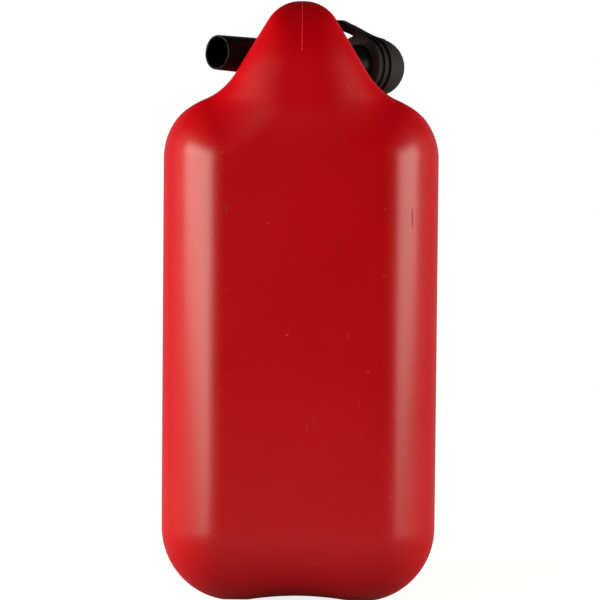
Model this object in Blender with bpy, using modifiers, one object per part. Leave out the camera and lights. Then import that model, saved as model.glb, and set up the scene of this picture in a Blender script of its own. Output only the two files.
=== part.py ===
"""Ten-litre fuel can with a push-and-turn cap, a spout stored under its handle, and the spout's strap.

The can's rear end faces -Y, its neck stands at the +Y end, and it rests on z = 0. Metres.
"""

import math

import bmesh
import bpy
import numpy as np
from mathutils import Matrix, Vector

# Can body
BODY_HEIGHT = 0.365
BODY_WIDTH = 0.1664
BODY_LENGTH = 0.248
WALL = 0.002
CORNER_RADIUS = 0.038
BASE_RADIUS = 0.046
BASE_ARCH = 0.0025
ARCH_HALF_WIDTH = 0.030
ARCH_HALF_LENGTH = 0.046

# Bell-shaped top, as the rear end shows it
HUMP_HEIGHT = 0.0950
SHOULDER_RADIUS = 0.0387
SHOULDER_SLOPE = math.radians(21.3)
SADDLE_RADIUS = 0.0393
FLANK_SLOPE = math.radians(58.8)
REAR_CREST_RADIUS = 0.040
FRONT_CREST_RADIUS = 0.020

# Handle and its window
REAR_POST_DEPTH = 0.036
CAP_CLEARANCE = 0.0091
WINDOW_HEIGHT = 0.0272
CROWN_SIDE_DROP = 0.0158
FRONT_POST_DEPTH = 0.020
POST_CORNER_RADIUS = 0.010
POST_TOP_RADIUS = 0.016
WINDOW_CORNER_RADIUS = 0.009
GRIP_WIDTH = 0.034
GRIP_HEIGHT = 0.020
GRIP_SQUARENESS = 2.6
GRIP_BLEND = 0.020
PLATFORM_DROP = 0.043
PLATFORM_EDGE_RADIUS = 0.006
PLATFORM_FILLET = 0.007

# Neck and its thread
NECK_SETBACK = 0.036
NECK_BORE_RADIUS = 0.0125
NECK_WALL = 0.0022
NECK_HEIGHT = 0.023
NECK_FLANGE_RADIUS = 0.0195
NECK_FLANGE_HEIGHT = 0.002
THREAD_DEPTH = 0.0013
THREAD_PITCH = 0.004
THREAD_TURNS = 1.5
THREAD_START = 0.0085
THREAD_CLEARANCE = 0.0004

# Cap
CAP_SHELL_WALL = 0.0018
CAP_HEIGHT = 0.020
SEAL_THICKNESS = 0.0016
PUSH_TRAVEL = 0.002
OUTER_SHELL_WALL = 0.002
OUTER_SHELL_GAP = 0.0007
TOOTH_COUNT = 8
TOOTH_HEIGHT = 0.0012
FLUTE_COUNT = 30
FLUTE_DEPTH = 0.0006

# Spout
SPOUT_SPREAD_WIDTH = 0.126
SPOUT_TILT = math.radians(2.9)
SPOUT_CROSSING_SHARE = 0.45
SPOUT_TIP_LENGTH = 0.073
SPOUT_TUBE_LENGTH = 0.122
SPOUT_TIP_RADIUS = 0.0106
SPOUT_ROOT_RADIUS = 0.0122
SPOUT_WALL = 0.0014
SPOUT_COLLAR_RADIUS = 0.0130
SPOUT_COLLAR_LENGTH = 0.009
TUBE_FLANGE_THICKNESS = 0.0018
GASKET_THICKNESS = 0.0015
NUT_RADIUS = 0.0195
NUT_GROOVE = 0.0011
NUT_FACE = 0.0018
NUT_LENGTH = 0.0128
NUT_FLOOR_GAP = 0.0015

# Retaining strap
STRAP_WIDTH = 0.007
STRAP_THICKNESS = 0.0022
STRAP_PEAK_DEPTH = 0.0104
STRAP_SPAN_WIDTH = 0.0198
STRAP_SPAN_LENGTH = 0.0256
STRAP_RISE_HEIGHT = 0.0066
TAB_LENGTH = 0.0079
RING_WALL = 0.0036
RING_THICKNESS = 0.002
PLUG_RADIUS = 0.0185
PLUG_LENGTH = 0.0205
PLUG_WALL = 0.0018
PLUG_SPIGOT_DEPTH = 0.004

# Clearance between pieces that touch
GAP = 0.0003

ROUND_STEPS = 40
TUBE_STEPS = 32
THREAD_STEPS = 20

# Sizes that follow from the ones above
HALF_WIDTH = BODY_WIDTH / 2
REAR = -BODY_LENGTH / 2
FRONT = BODY_LENGTH / 2
SHOULDER_HEIGHT = BODY_HEIGHT - HUMP_HEIGHT
GRIP_UNDERSIDE = BODY_HEIGHT - GRIP_HEIGHT
CROWN_HEIGHT = GRIP_UNDERSIDE - WINDOW_HEIGHT
CROWN_SIDE_HEIGHT = CROWN_HEIGHT - CROWN_SIDE_DROP
PLATFORM_HEIGHT = BODY_HEIGHT - PLATFORM_DROP
NECK_Y = FRONT - NECK_SETBACK
NECK_RADIUS = NECK_BORE_RADIUS + NECK_WALL
THREAD_RADIUS = NECK_RADIUS + THREAD_DEPTH
THREAD_BORE = THREAD_RADIUS + THREAD_CLEARANCE
CAP_SHELL_RADIUS = THREAD_BORE + CAP_SHELL_WALL
CAP_BORE = CAP_SHELL_RADIUS + OUTER_SHELL_GAP
CAP_RADIUS = CAP_BORE + OUTER_SHELL_WALL
WINDOW_REAR = REAR + REAR_POST_DEPTH
POST_FRONT = NECK_Y - CAP_RADIUS - CAP_CLEARANCE
WINDOW_FRONT = POST_FRONT - FRONT_POST_DEPTH
WINDOW_LENGTH = WINDOW_FRONT - WINDOW_REAR
SPOUT_HEADING = math.atan2(WINDOW_LENGTH, SPOUT_SPREAD_WIDTH)
SPOUT_AXIS = Vector((
    math.cos(SPOUT_HEADING) * math.cos(SPOUT_TILT),
    math.sin(SPOUT_HEADING) * math.cos(SPOUT_TILT),
    -math.sin(SPOUT_TILT),
))

# Bell outline in the cross-section: shoulder arc, saddle arc, straight flank, crest arc
SADDLE_X = HALF_WIDTH - SHOULDER_RADIUS * (1 - math.sin(SHOULDER_SLOPE))
SADDLE_Z = SHOULDER_HEIGHT + SHOULDER_RADIUS * math.cos(SHOULDER_SLOPE)
SADDLE_CENTRE_X = SADDLE_X + SADDLE_RADIUS * math.sin(SHOULDER_SLOPE)
SADDLE_CENTRE_Z = SADDLE_Z + SADDLE_RADIUS * math.cos(SHOULDER_SLOPE)
FLANK_X = SADDLE_CENTRE_X - SADDLE_RADIUS * math.sin(FLANK_SLOPE)
FLANK_Z = SADDLE_CENTRE_Z - SADDLE_RADIUS * math.cos(FLANK_SLOPE)
CREST_RADIUS = (FLANK_X - (BODY_HEIGHT - FLANK_Z) / math.tan(FLANK_SLOPE)) / (
    math.sin(FLANK_SLOPE) - (1 - math.cos(FLANK_SLOPE)) / math.tan(FLANK_SLOPE)
)
CREST_EDGE_X = CREST_RADIUS * math.sin(FLANK_SLOPE)
CREST_EDGE_Z = BODY_HEIGHT - CREST_RADIUS * (1 - math.cos(FLANK_SLOPE))

# Lattice of the can body: columns across, stations along, levels up
COLUMNS = 3
LAST_INDEX = 9
SHOULDER_LEVEL = 5
CROWN_LEVEL = 8
POST_LEVEL = 9
PLATFORM_LEVEL = 10
GRIP_LEVEL = 11
LAST_LEVEL = 12
WALL_SHARES = (0.0, 0.3, 0.62, 0.87, 1.0)
WINDOW_START_INDEX = 2
WINDOW_END_INDEX = 5
POST_FRONT_INDEX = 6


def bell_half_width(z):
    """Half the can's width at each height."""
    rise = np.clip(z - SHOULDER_HEIGHT, 0.0, SHOULDER_RADIUS)
    shoulder = HALF_WIDTH - SHOULDER_RADIUS + np.sqrt(SHOULDER_RADIUS**2 - rise**2)
    drop = np.clip(SADDLE_CENTRE_Z - z, 0.0, SADDLE_RADIUS)
    saddle = SADDLE_CENTRE_X - np.sqrt(SADDLE_RADIUS**2 - drop**2)
    flank = FLANK_X - (z - FLANK_Z) / math.tan(FLANK_SLOPE)
    rise = np.clip(z - BODY_HEIGHT + CREST_RADIUS, -CREST_RADIUS, CREST_RADIUS)
    crest = np.sqrt(CREST_RADIUS**2 - rise**2)
    return np.select([z <= SADDLE_Z, z <= FLANK_Z, z <= CREST_EDGE_Z], [shoulder, saddle, flank], crest)


def bell_gap(x, z):
    """Distance outside the bell outline, in the plane across the can."""
    x = np.abs(x)
    inward, upward = -math.cos(FLANK_SLOPE), math.sin(FLANK_SLOPE)
    past_shoulder = (z - SADDLE_Z) * math.sin(SHOULDER_SLOPE) - (x - SADDLE_X) * math.cos(SHOULDER_SLOPE)
    past_saddle = (x - FLANK_X) * inward + (z - FLANK_Z) * upward
    past_flank = (x - CREST_EDGE_X) * inward + (z - CREST_EDGE_Z) * upward
    crest = np.hypot(x, z - BODY_HEIGHT + CREST_RADIUS) - CREST_RADIUS
    flank = (x - FLANK_X) * upward - (z - FLANK_Z) * inward
    saddle = SADDLE_RADIUS - np.hypot(x - SADDLE_CENTRE_X, z - SADDLE_CENTRE_Z)
    across = np.maximum(x - HALF_WIDTH + SHOULDER_RADIUS, 0.0)
    shoulder = np.hypot(across, z - SHOULDER_HEIGHT) - SHOULDER_RADIUS
    places = [past_flank > 0, past_saddle > 0, past_shoulder > 0, z > SHOULDER_HEIGHT]
    return np.select(places, [crest, flank, saddle, shoulder], x - HALF_WIDTH)


def rear_face(z):
    """Y of the rear face at each height: upright, then rounded over to the handle."""
    rise = np.clip(z - BODY_HEIGHT + REAR_CREST_RADIUS, 0.0, REAR_CREST_RADIUS)
    return REAR + REAR_CREST_RADIUS - np.sqrt(REAR_CREST_RADIUS**2 - rise**2)


def front_face(z):
    """Y of the front face at each height: upright, then rounded over to the platform."""
    rise = np.clip(z - PLATFORM_HEIGHT + FRONT_CREST_RADIUS, 0.0, FRONT_CREST_RADIUS)
    return FRONT - FRONT_CREST_RADIUS + np.sqrt(FRONT_CREST_RADIUS**2 - rise**2)


def rounded(first, second, radius):
    """Where both of two shapes are, its outer edge rounded."""
    inside = np.minimum(np.maximum(first, second) + radius, 0.0)
    return inside + np.hypot(np.maximum(first + radius, 0.0), np.maximum(second + radius, 0.0)) - radius


def filleted(first, second, radius):
    """Where either of two shapes is, its inner corner filleted."""
    return -rounded(-first, -second, radius)


def blended(first, second, width):
    """Lower of two values, one flowing into the other over a width."""
    share = np.maximum(width - np.abs(first - second), 0.0) / width
    return np.minimum(first, second) - share**2 * width / 4


def corner_radius(y, z):
    """Radius of the upright corners, smaller towards the narrow top."""
    share = 0.7 - 0.15 * np.clip(y / FRONT + 0.5, 0.0, 1.0)
    radius = blended(CORNER_RADIUS, share * bell_half_width(z), CORNER_RADIUS / 2)
    return np.maximum(blended(radius, BODY_HEIGHT - z, CREST_RADIUS / 4), WALL / 4)


def hull_gap(x, y, z):
    """Distance outside the plain can: bell outline, end faces, corners and rounded base."""
    end = np.where(y > 0, y - front_face(z), rear_face(z) - y)
    wall = rounded(bell_gap(x, z), end, corner_radius(y, z))
    across = np.minimum((x / ARCH_HALF_WIDTH) ** 2, (y / ARCH_HALF_LENGTH) ** 2)
    arch = BASE_ARCH * np.clip(1 - across, 0.0, 1.0)
    return rounded(wall, arch - z, BASE_RADIUS)


def grip_gap(x, z):
    """Distance outside the grip's oval section."""
    across = np.abs(x) / (GRIP_WIDTH / 2)
    upward = np.abs(z - BODY_HEIGHT + GRIP_HEIGHT / 2) / (GRIP_HEIGHT / 2)
    oval = (across**GRIP_SQUARENESS + upward**GRIP_SQUARENESS) ** (1 / GRIP_SQUARENESS)
    return (oval - 1) * GRIP_HEIGHT / 2


def can_gap(points):
    """Distance of each point outside the can's skin, negative inside."""
    x, y, z = points.T
    step = filleted(z - PLATFORM_HEIGHT, y - POST_FRONT, PLATFORM_FILLET)
    high = np.clip((z - PLATFORM_HEIGHT) / PLATFORM_DROP * 2 - 0.2, 0.0, 1.0)
    edge = PLATFORM_EDGE_RADIUS + (POST_TOP_RADIUS - PLATFORM_EDGE_RADIUS) * high
    tank = rounded(hull_gap(x, y, z), step, edge)
    middle = (WINDOW_REAR + WINDOW_FRONT) / 2
    slope = (crown_height(x + GAP) - crown_height(x - GAP)) / (2 * GAP)
    under = (crown_height(x) - z) / np.sqrt(1 + slope**2)
    window = rounded(np.abs(y - middle) - WINDOW_LENGTH / 2, under, WINDOW_CORNER_RADIUS)
    posts = rounded(tank, -window, POST_CORNER_RADIUS)
    return np.maximum(blended(posts, grip_gap(x, z), GRIP_BLEND), tank)


def onto_skin(points, rounds):
    """Bring points onto the can's skin along its slope."""
    reach = GAP / 6
    for _ in range(rounds):
        value = can_gap(points)
        slope = np.stack([
            (can_gap(points + step) - can_gap(points - step)) / (2 * reach) for step in np.eye(3) * reach
        ], axis=1)
        move = slope * (value / np.maximum((slope**2).sum(axis=1), 0.05))[:, None]
        length = np.maximum(np.linalg.norm(move, axis=1), reach)
        points = points - move * np.minimum(1.0, 2 * WALL / length)[:, None]
    return points


def true_up(mesh):
    """Bring a subdivided cage onto the can's exact skin, evenly spaced, its feet flat."""
    count = len(mesh.vertices)
    points = np.array([vertex.co for vertex in mesh.vertices], dtype=float)
    edges = np.array([edge.vertices for edge in mesh.edges])
    points = onto_skin(points, 8)
    inner, outer = ARCH_HALF_WIDTH, HALF_WIDTH - BASE_RADIUS
    low = (points[:, 2] < BASE_ARCH / 4) & (np.abs(points[:, 1]) < FRONT - BASE_RADIUS)
    foot = np.zeros(count, dtype=bool)
    for edge in (inner, outer):
        near = low & (np.abs(np.abs(points[:, 0]) - edge) < (outer - inner) / 2)
        points[near, 0] = np.sign(points[near, 0]) * edge
        points[near, 2] = 0.0
        foot |= near
    flat = points[foot].copy()
    links = np.bincount(edges.ravel(), minlength=count)[:, None]
    for _ in range(8):
        total = np.zeros_like(points)
        np.add.at(total, edges[:, 0], points[edges[:, 1]])
        np.add.at(total, edges[:, 1], points[edges[:, 0]])
        points = onto_skin(points + (total / links - points) / 2, 3)
        points[foot] = flat
    points[np.abs(points[:, 2]) < GAP / 100, 2] = 0.0
    mesh.vertices.foreach_set("co", points.ravel())
    mesh.update()


def nut_lowest_point():
    """Across and height of the lowest point of the nut's front edge."""
    reach = SPOUT_TUBE_LENGTH - SPOUT_TIP_LENGTH
    centre = spout_point(SPOUT_TIP_LENGTH + reach)
    return centre.x, centre.z - NUT_RADIUS


def spout_point(distance):
    """Point on the spout's axis, a distance from its tip."""
    root_share = SPOUT_TIP_LENGTH / SPOUT_TUBE_LENGTH
    radius_here = SPOUT_TIP_RADIUS + (SPOUT_ROOT_RADIUS - SPOUT_TIP_RADIUS) * root_share
    crossing_y = WINDOW_REAR + SPOUT_CROSSING_SHARE * WINDOW_LENGTH
    crossing = Vector((0.0, crossing_y, CROWN_HEIGHT + 2 * GAP + radius_here))
    return crossing + SPOUT_AXIS * (distance - SPOUT_TIP_LENGTH)


def crown_height(x):
    """Height of the tank's crown under the handle: a ridge that leaves room for the nut."""
    nut_x, nut_z = nut_lowest_point()
    share = (nut_z - NUT_FLOOR_GAP - CROWN_SIDE_HEIGHT) / CROWN_SIDE_DROP
    ridge = nut_x * (math.pi / 2) / math.acos(math.sqrt(min(max(share, 0.05), 0.95)))
    wave = np.cos(math.pi / 2 * np.minimum(np.abs(x) / ridge, 1.0)) ** 2
    return CROWN_SIDE_HEIGHT + CROWN_SIDE_DROP * wave


def outline_point(i, j, z, half_width, rear, front, radius, station_y):
    """Point of the rounded outline at one height, for a lattice column and station."""
    side = (i > 0) - (i < 0) if abs(i) == COLUMNS else 0
    end = {0: -1, LAST_INDEX: 1}.get(j, 0)
    inner_x = (half_width - radius) * max(-1.0, min(1.0, i / (COLUMNS - 1)))
    inner_y = min(max(station_y, rear + radius), front - radius)
    reach = radius / math.sqrt(2) if side and end else radius
    x = inner_x + side * reach
    y = {-1: rear + radius, 0: inner_y, 1: front - radius}[end] + end * reach
    return Vector((x, y, z))


def tank_y(j):
    """Station along the tank, below the crown."""
    return {
        0: REAR, 1: REAR, 2: WINDOW_REAR + 0.022, 3: WINDOW_REAR + 0.052,
        4: WINDOW_FRONT - 0.040, 5: WINDOW_FRONT, 6: POST_FRONT + 0.002,
        7: NECK_Y - 0.015, 8: FRONT, 9: FRONT,
    }[j]


def window_y(j):
    """Station along the window and the posts beside it."""
    if j == 1:
        return REAR
    if j >= POST_FRONT_INDEX:
        return tank_y(j)
    return WINDOW_REAR + WINDOW_LENGTH * (0.0, 0.2, 0.8, 1.0)[j - WINDOW_START_INDEX]


def base_point(i, j):
    """Point of the underside and its rounded edge."""
    side = (i > 0) - (i < 0) if abs(i) == COLUMNS else 0
    end = {0: -1, LAST_INDEX: 1}.get(j, 0)
    flat = outline_point(
        max(-2, min(2, i)), max(1, min(8, j)), BASE_RADIUS, HALF_WIDTH, REAR, FRONT,
        BASE_RADIUS, tank_y(j),
    )
    return flat + Vector((side, end, -1.0)).normalized() * BASE_RADIUS


def grip_point(i, y, upper):
    """Point of the grip's oval section."""
    angle = math.radians(90 - i * 360 / 14)
    across = abs(math.cos(angle)) ** 0.8 * GRIP_WIDTH / 2
    up = abs(math.sin(angle)) ** 0.8 * GRIP_HEIGHT / 2
    middle = BODY_HEIGHT - GRIP_HEIGHT / 2
    return Vector((math.copysign(across, i) if i else 0.0, y, middle + (up if upper else -up)))


def crest_point(i, y, drop):
    """Point of the hump's rounded top."""
    angle = FLANK_SLOPE * i / COLUMNS
    return Vector((
        CREST_RADIUS * math.sin(angle), y, BODY_HEIGHT - drop - CREST_RADIUS * (1 - math.cos(angle))
    ))


def level_height(j, k):
    """Height of a lattice level on the can's flank."""
    if k <= SHOULDER_LEVEL:
        return BASE_RADIUS + (SHOULDER_HEIGHT - BASE_RADIUS) * WALL_SHARES[k - 1]
    if k <= CROWN_LEVEL:
        share = (k - SHOULDER_LEVEL) / (CROWN_LEVEL - SHOULDER_LEVEL)
        return SHOULDER_HEIGHT + SHOULDER_RADIUS * math.sin((math.pi / 2 - SHOULDER_SLOPE) * share)
    if j >= POST_FRONT_INDEX:
        span = PLATFORM_HEIGHT - SADDLE_Z
        heights = (SADDLE_Z + 0.55 * span, PLATFORM_HEIGHT, GRIP_UNDERSIDE - 0.005, BODY_HEIGHT)
    elif j == 0:
        rise = BODY_HEIGHT - 0.40 * REAR_CREST_RADIUS - SADDLE_Z
        heights = [SADDLE_Z + rise * share for share in (0.27, 0.54, 0.79, 1.0)]
    else:
        heights = (FLANK_Z, (FLANK_Z + GRIP_UNDERSIDE) / 2, GRIP_UNDERSIDE, CREST_EDGE_Z)
    return heights[k - POST_LEVEL]


def post_wall_point(i, j, k):
    """Point of an upright wall at the window or at the front of the handle's front post."""
    wall_y = {2: WINDOW_REAR, 5: WINDOW_FRONT, 6: POST_FRONT}[j]
    inward = 1 if j == WINDOW_END_INDEX else -1
    z = level_height(j, k)
    half = bell_half_width(z)
    if abs(i) == COLUMNS:
        cut = POST_CORNER_RADIUS * (1 - math.sqrt(0.5))
        return Vector((math.copysign(half - cut, i), wall_y + inward * cut, z))
    if k == POST_LEVEL:
        z += (CROWN_HEIGHT + 0.008 - z) * (1 - (i / COLUMNS) ** 2)
    return Vector(((half - POST_CORNER_RADIUS) * i / 2, wall_y, z))


def top_point(i, j):
    """Point of the top level: hump, grip and front post."""
    if j == 0:
        point = crest_point(i, rear_face(BODY_HEIGHT - 0.293 * REAR_CREST_RADIUS), 0)
        point.z -= REAR_CREST_RADIUS * 0.293
        if abs(i) == COLUMNS:
            return Vector((point.x * 0.86, point.y + 0.004, level_height(0, LAST_LEVEL) - 0.002))
        return Vector((point.x * 0.92, point.y, point.z + 0.001 * abs(i)))
    if j == 1:
        return crest_point(i, REAR + 0.75 * REAR_CREST_RADIUS, 0.0008)
    if j in (3, 4):
        return grip_point(i, window_y(j), True)
    if j == POST_FRONT_INDEX:
        point = crest_point(i, POST_FRONT - 0.007, 0.009)
        return Vector((point.x * 0.86, point.y - 0.002 * (abs(i) == COLUMNS), point.z))
    return crest_point(i, window_y(j), 0.0)


def platform_point(i, j):
    """Point of the flat top that carries the neck."""
    y = {6: POST_FRONT, 7: NECK_Y - 0.015, 8: NECK_Y + 0.013, 9: FRONT}[j]
    edge_z = PLATFORM_HEIGHT - 0.4 * PLATFORM_EDGE_RADIUS
    half = bell_half_width(edge_z)
    if abs(i) == COLUMNS or j == LAST_INDEX:
        return outline_point(i, j, edge_z, half, REAR, front_face(edge_z), corner_radius(y, edge_z), y)
    return Vector(((half - 2 * PLATFORM_EDGE_RADIUS) * i / 2, y, PLATFORM_HEIGHT))


def skin_point(i, j, k):
    """Where a node of the lattice lies on the can's skin."""
    if k == 0:
        return base_point(i, j)
    if k == LAST_LEVEL:
        return top_point(i, j)
    if k == PLATFORM_LEVEL and j >= POST_FRONT_INDEX:
        return platform_point(i, j)
    if k == CROWN_LEVEL and WINDOW_START_INDEX <= j <= WINDOW_END_INDEX and abs(i) < COLUMNS:
        x = SADDLE_X * i / COLUMNS
        fillet = 0.003 if j in (WINDOW_START_INDEX, WINDOW_END_INDEX) else 0.0
        inset = {WINDOW_START_INDEX: 0.003, WINDOW_END_INDEX: -0.003}.get(j, 0.0)
        return Vector((x, window_y(j) + inset, crown_height(x) + fillet))
    if k == GRIP_LEVEL and j in (3, 4):
        return grip_point(i, window_y(j), False)
    if k > CROWN_LEVEL and j in (WINDOW_START_INDEX, WINDOW_END_INDEX):
        return post_wall_point(i, j, k)
    if k == GRIP_LEVEL and j == POST_FRONT_INDEX:
        return post_wall_point(i, j, k)
    z = level_height(j, k)
    half = bell_half_width(z)
    y = tank_y(j) if k < CROWN_LEVEL else window_y(j)
    return outline_point(i, j, z, half, rear_face(z), front_face(z), corner_radius(y, z), y)


def cell_is_solid(i, j, k):
    """Whether a cell of the lattice belongs to the can."""
    if not (-COLUMNS <= i < COLUMNS and 0 <= j < LAST_INDEX and 0 <= k < LAST_LEVEL):
        return False
    if j >= POST_FRONT_INDEX:
        return k < PLATFORM_LEVEL
    in_window = WINDOW_START_INDEX <= j < WINDOW_END_INDEX
    return not (in_window and CROWN_LEVEL <= k < GRIP_LEVEL)


def cell_face(cell, step):
    """The four lattice nodes of a cell's face, seen from outside in turn."""
    axis = [n for n in range(3) if step[n]][0]
    first, second = [n for n in range(3) if n != axis]
    corners = []
    for a, b in ((0, 0), (1, 0), (1, 1), (0, 1)):
        node = list(cell)
        node[axis] += max(step[axis], 0)
        node[first] += a
        node[second] += b
        corners.append(tuple(node))
    return corners


def can_skin():
    """Cage of the can's outer skin."""
    bm = bmesh.new()
    nodes = {}
    steps = [(1, 0, 0), (-1, 0, 0), (0, 1, 0), (0, -1, 0), (0, 0, 1), (0, 0, -1)]
    cells = [
        (i, j, k) for i in range(-COLUMNS, COLUMNS)
        for j in range(LAST_INDEX) for k in range(LAST_LEVEL)
    ]
    for cell in cells:
        if not cell_is_solid(*cell):
            continue
        for step in steps:
            if cell_is_solid(*[c + s for c, s in zip(cell, step)]):
                continue
            corners = cell_face(cell, step)
            for node in corners:
                if node not in nodes:
                    nodes[node] = bm.verts.new(skin_point(*node))
            bm.faces.new([nodes[node] for node in corners])
    bmesh.ops.recalc_face_normals(bm, faces=bm.faces)
    mesh = bpy.data.meshes.new("can_skin")
    bm.to_mesh(mesh)
    bm.free()
    return mesh


def plastic(name, colour, roughness):
    """Moulded plastic of one colour."""
    material = bpy.data.materials.new(name)
    material.use_nodes = True
    shader = material.node_tree.nodes["Principled BSDF"]
    shader.inputs["Base Color"].default_value = (*colour, 1.0)
    shader.inputs["Roughness"].default_value = roughness
    shader.inputs["Metallic"].default_value = 0.0
    return material


def add_object(name, mesh, collection, material=None):
    """A mesh object in a collection, shaded smooth."""
    obj = bpy.data.objects.new(name, mesh)
    collection.objects.link(obj)
    if material is not None:
        mesh.materials.append(material)
    mesh.shade_smooth()
    mesh.set_sharp_from_angle(angle=math.radians(35))
    return obj


def baked(obj):
    """The object's mesh with its modifiers, as a mesh of its own."""
    bpy.context.view_layer.update()
    evaluated = obj.evaluated_get(bpy.context.evaluated_depsgraph_get())
    return bpy.data.meshes.new_from_object(evaluated)


def make_cutter(obj):
    """Mark an object as a guide for a Boolean."""
    obj.hide_render = True
    obj.display_type = "WIRE"
    return obj


def add_boolean(obj, operation, other):
    """Join or cut an object with another."""
    modifier = obj.modifiers.new(f"{operation.lower()} {other.name}", "BOOLEAN")
    modifier.operation = operation
    modifier.solver = "EXACT"
    modifier.object = other
    return modifier


def turned_mesh(name, profile, steps):
    """Mesh turned about Z from (radius, height) points, run down the outer side."""
    mesh = bpy.data.meshes.new(name)
    closed = all(radius > 0 for radius, _ in profile)
    edges = [(n, n + 1) for n in range(len(profile) - 1)]
    if closed:
        edges.append((len(profile) - 1, 0))
    mesh.from_pydata([(radius, 0.0, height) for radius, height in profile], edges, [])
    obj = bpy.data.objects.new(name, mesh)
    bpy.context.scene.collection.objects.link(obj)
    screw = obj.modifiers.new("turn", "SCREW")
    screw.steps = screw.render_steps = steps
    screw.use_merge_vertices = True
    screw.merge_threshold = 0.00001
    turned = baked(obj)
    bpy.data.objects.remove(obj)
    turned.name = name
    return turned


def thread_mesh(name, root_radius, crest_radius, start, turns):
    """Helical ridge from a root radius to a crest radius, with tapered flanks."""
    bm = bmesh.new()
    root_half = 0.0011
    crest_half = 0.0005
    corners = [
        (root_radius, -root_half), (crest_radius, -crest_half),
        (crest_radius, crest_half), (root_radius, root_half),
    ]
    profile = [bm.verts.new((radius, 0.0, start + height)) for radius, height in corners]
    face = bm.faces.new(profile)
    steps = round(THREAD_STEPS * turns)
    bmesh.ops.spin(
        bm, geom=[*profile, *face.edges, face], cent=(0, 0, 0), axis=(0, 0, 1),
        dvec=(0, 0, THREAD_PITCH * turns / steps), angle=math.tau * turns, steps=steps,
    )
    bmesh.ops.recalc_face_normals(bm, faces=bm.faces)
    mesh = bpy.data.meshes.new(name)
    bm.to_mesh(mesh)
    bm.free()
    return mesh


def frame_at(origin, axis):
    """Matrix that takes +Z to an axis at an origin."""
    return Matrix.Translation(origin) @ axis.to_track_quat("Z", "Y").to_matrix().to_4x4()


def make_can_body(parts, cutters, material):
    """The blow-moulded can with its hollow handle and its threaded neck."""
    cage = add_object("can_cage", can_skin(), cutters)
    smooth = cage.modifiers.new("smooth", "SUBSURF")
    smooth.levels = smooth.render_levels = 1
    mesh = baked(cage)
    bpy.data.objects.remove(cage)
    true_up(mesh)
    body = add_object("can_body", mesh, parts, material)
    wall = body.modifiers.new("wall", "SOLIDIFY")
    wall.thickness = WALL
    wall.offset = -1

    neck_place = Matrix.Translation((0.0, NECK_Y, PLATFORM_HEIGHT))
    bead = 0.0006
    neck_profile = [
        (0.0, NECK_HEIGHT), (NECK_RADIUS - bead, NECK_HEIGHT), (NECK_RADIUS, NECK_HEIGHT - bead),
        (NECK_RADIUS, NECK_FLANGE_HEIGHT), (NECK_FLANGE_RADIUS - bead, NECK_FLANGE_HEIGHT),
        (NECK_FLANGE_RADIUS, NECK_FLANGE_HEIGHT - bead), (NECK_FLANGE_RADIUS, -WALL * 0.6),
        (0.0, -WALL * 0.6),
    ]
    neck = make_cutter(add_object("neck_blank", turned_mesh("neck", neck_profile, ROUND_STEPS), cutters))
    neck.matrix_world = neck_place
    ridge_mesh = thread_mesh("neck_thread", NECK_RADIUS - 0.0004, THREAD_RADIUS, THREAD_START, THREAD_TURNS)
    ridge = make_cutter(add_object("neck_ridge", ridge_mesh, cutters))
    ridge.matrix_world = neck_place
    bore_profile = [
        (0.0, NECK_HEIGHT + WALL), (NECK_BORE_RADIUS, NECK_HEIGHT + WALL),
        (NECK_BORE_RADIUS, -3 * WALL), (0.0, -3 * WALL),
    ]
    bore = make_cutter(add_object("neck_bore", turned_mesh("bore", bore_profile, ROUND_STEPS), cutters))
    bore.matrix_world = neck_place
    add_boolean(body, "UNION", neck)
    add_boolean(body, "UNION", ridge)
    add_boolean(body, "DIFFERENCE", bore)
    return body


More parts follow.
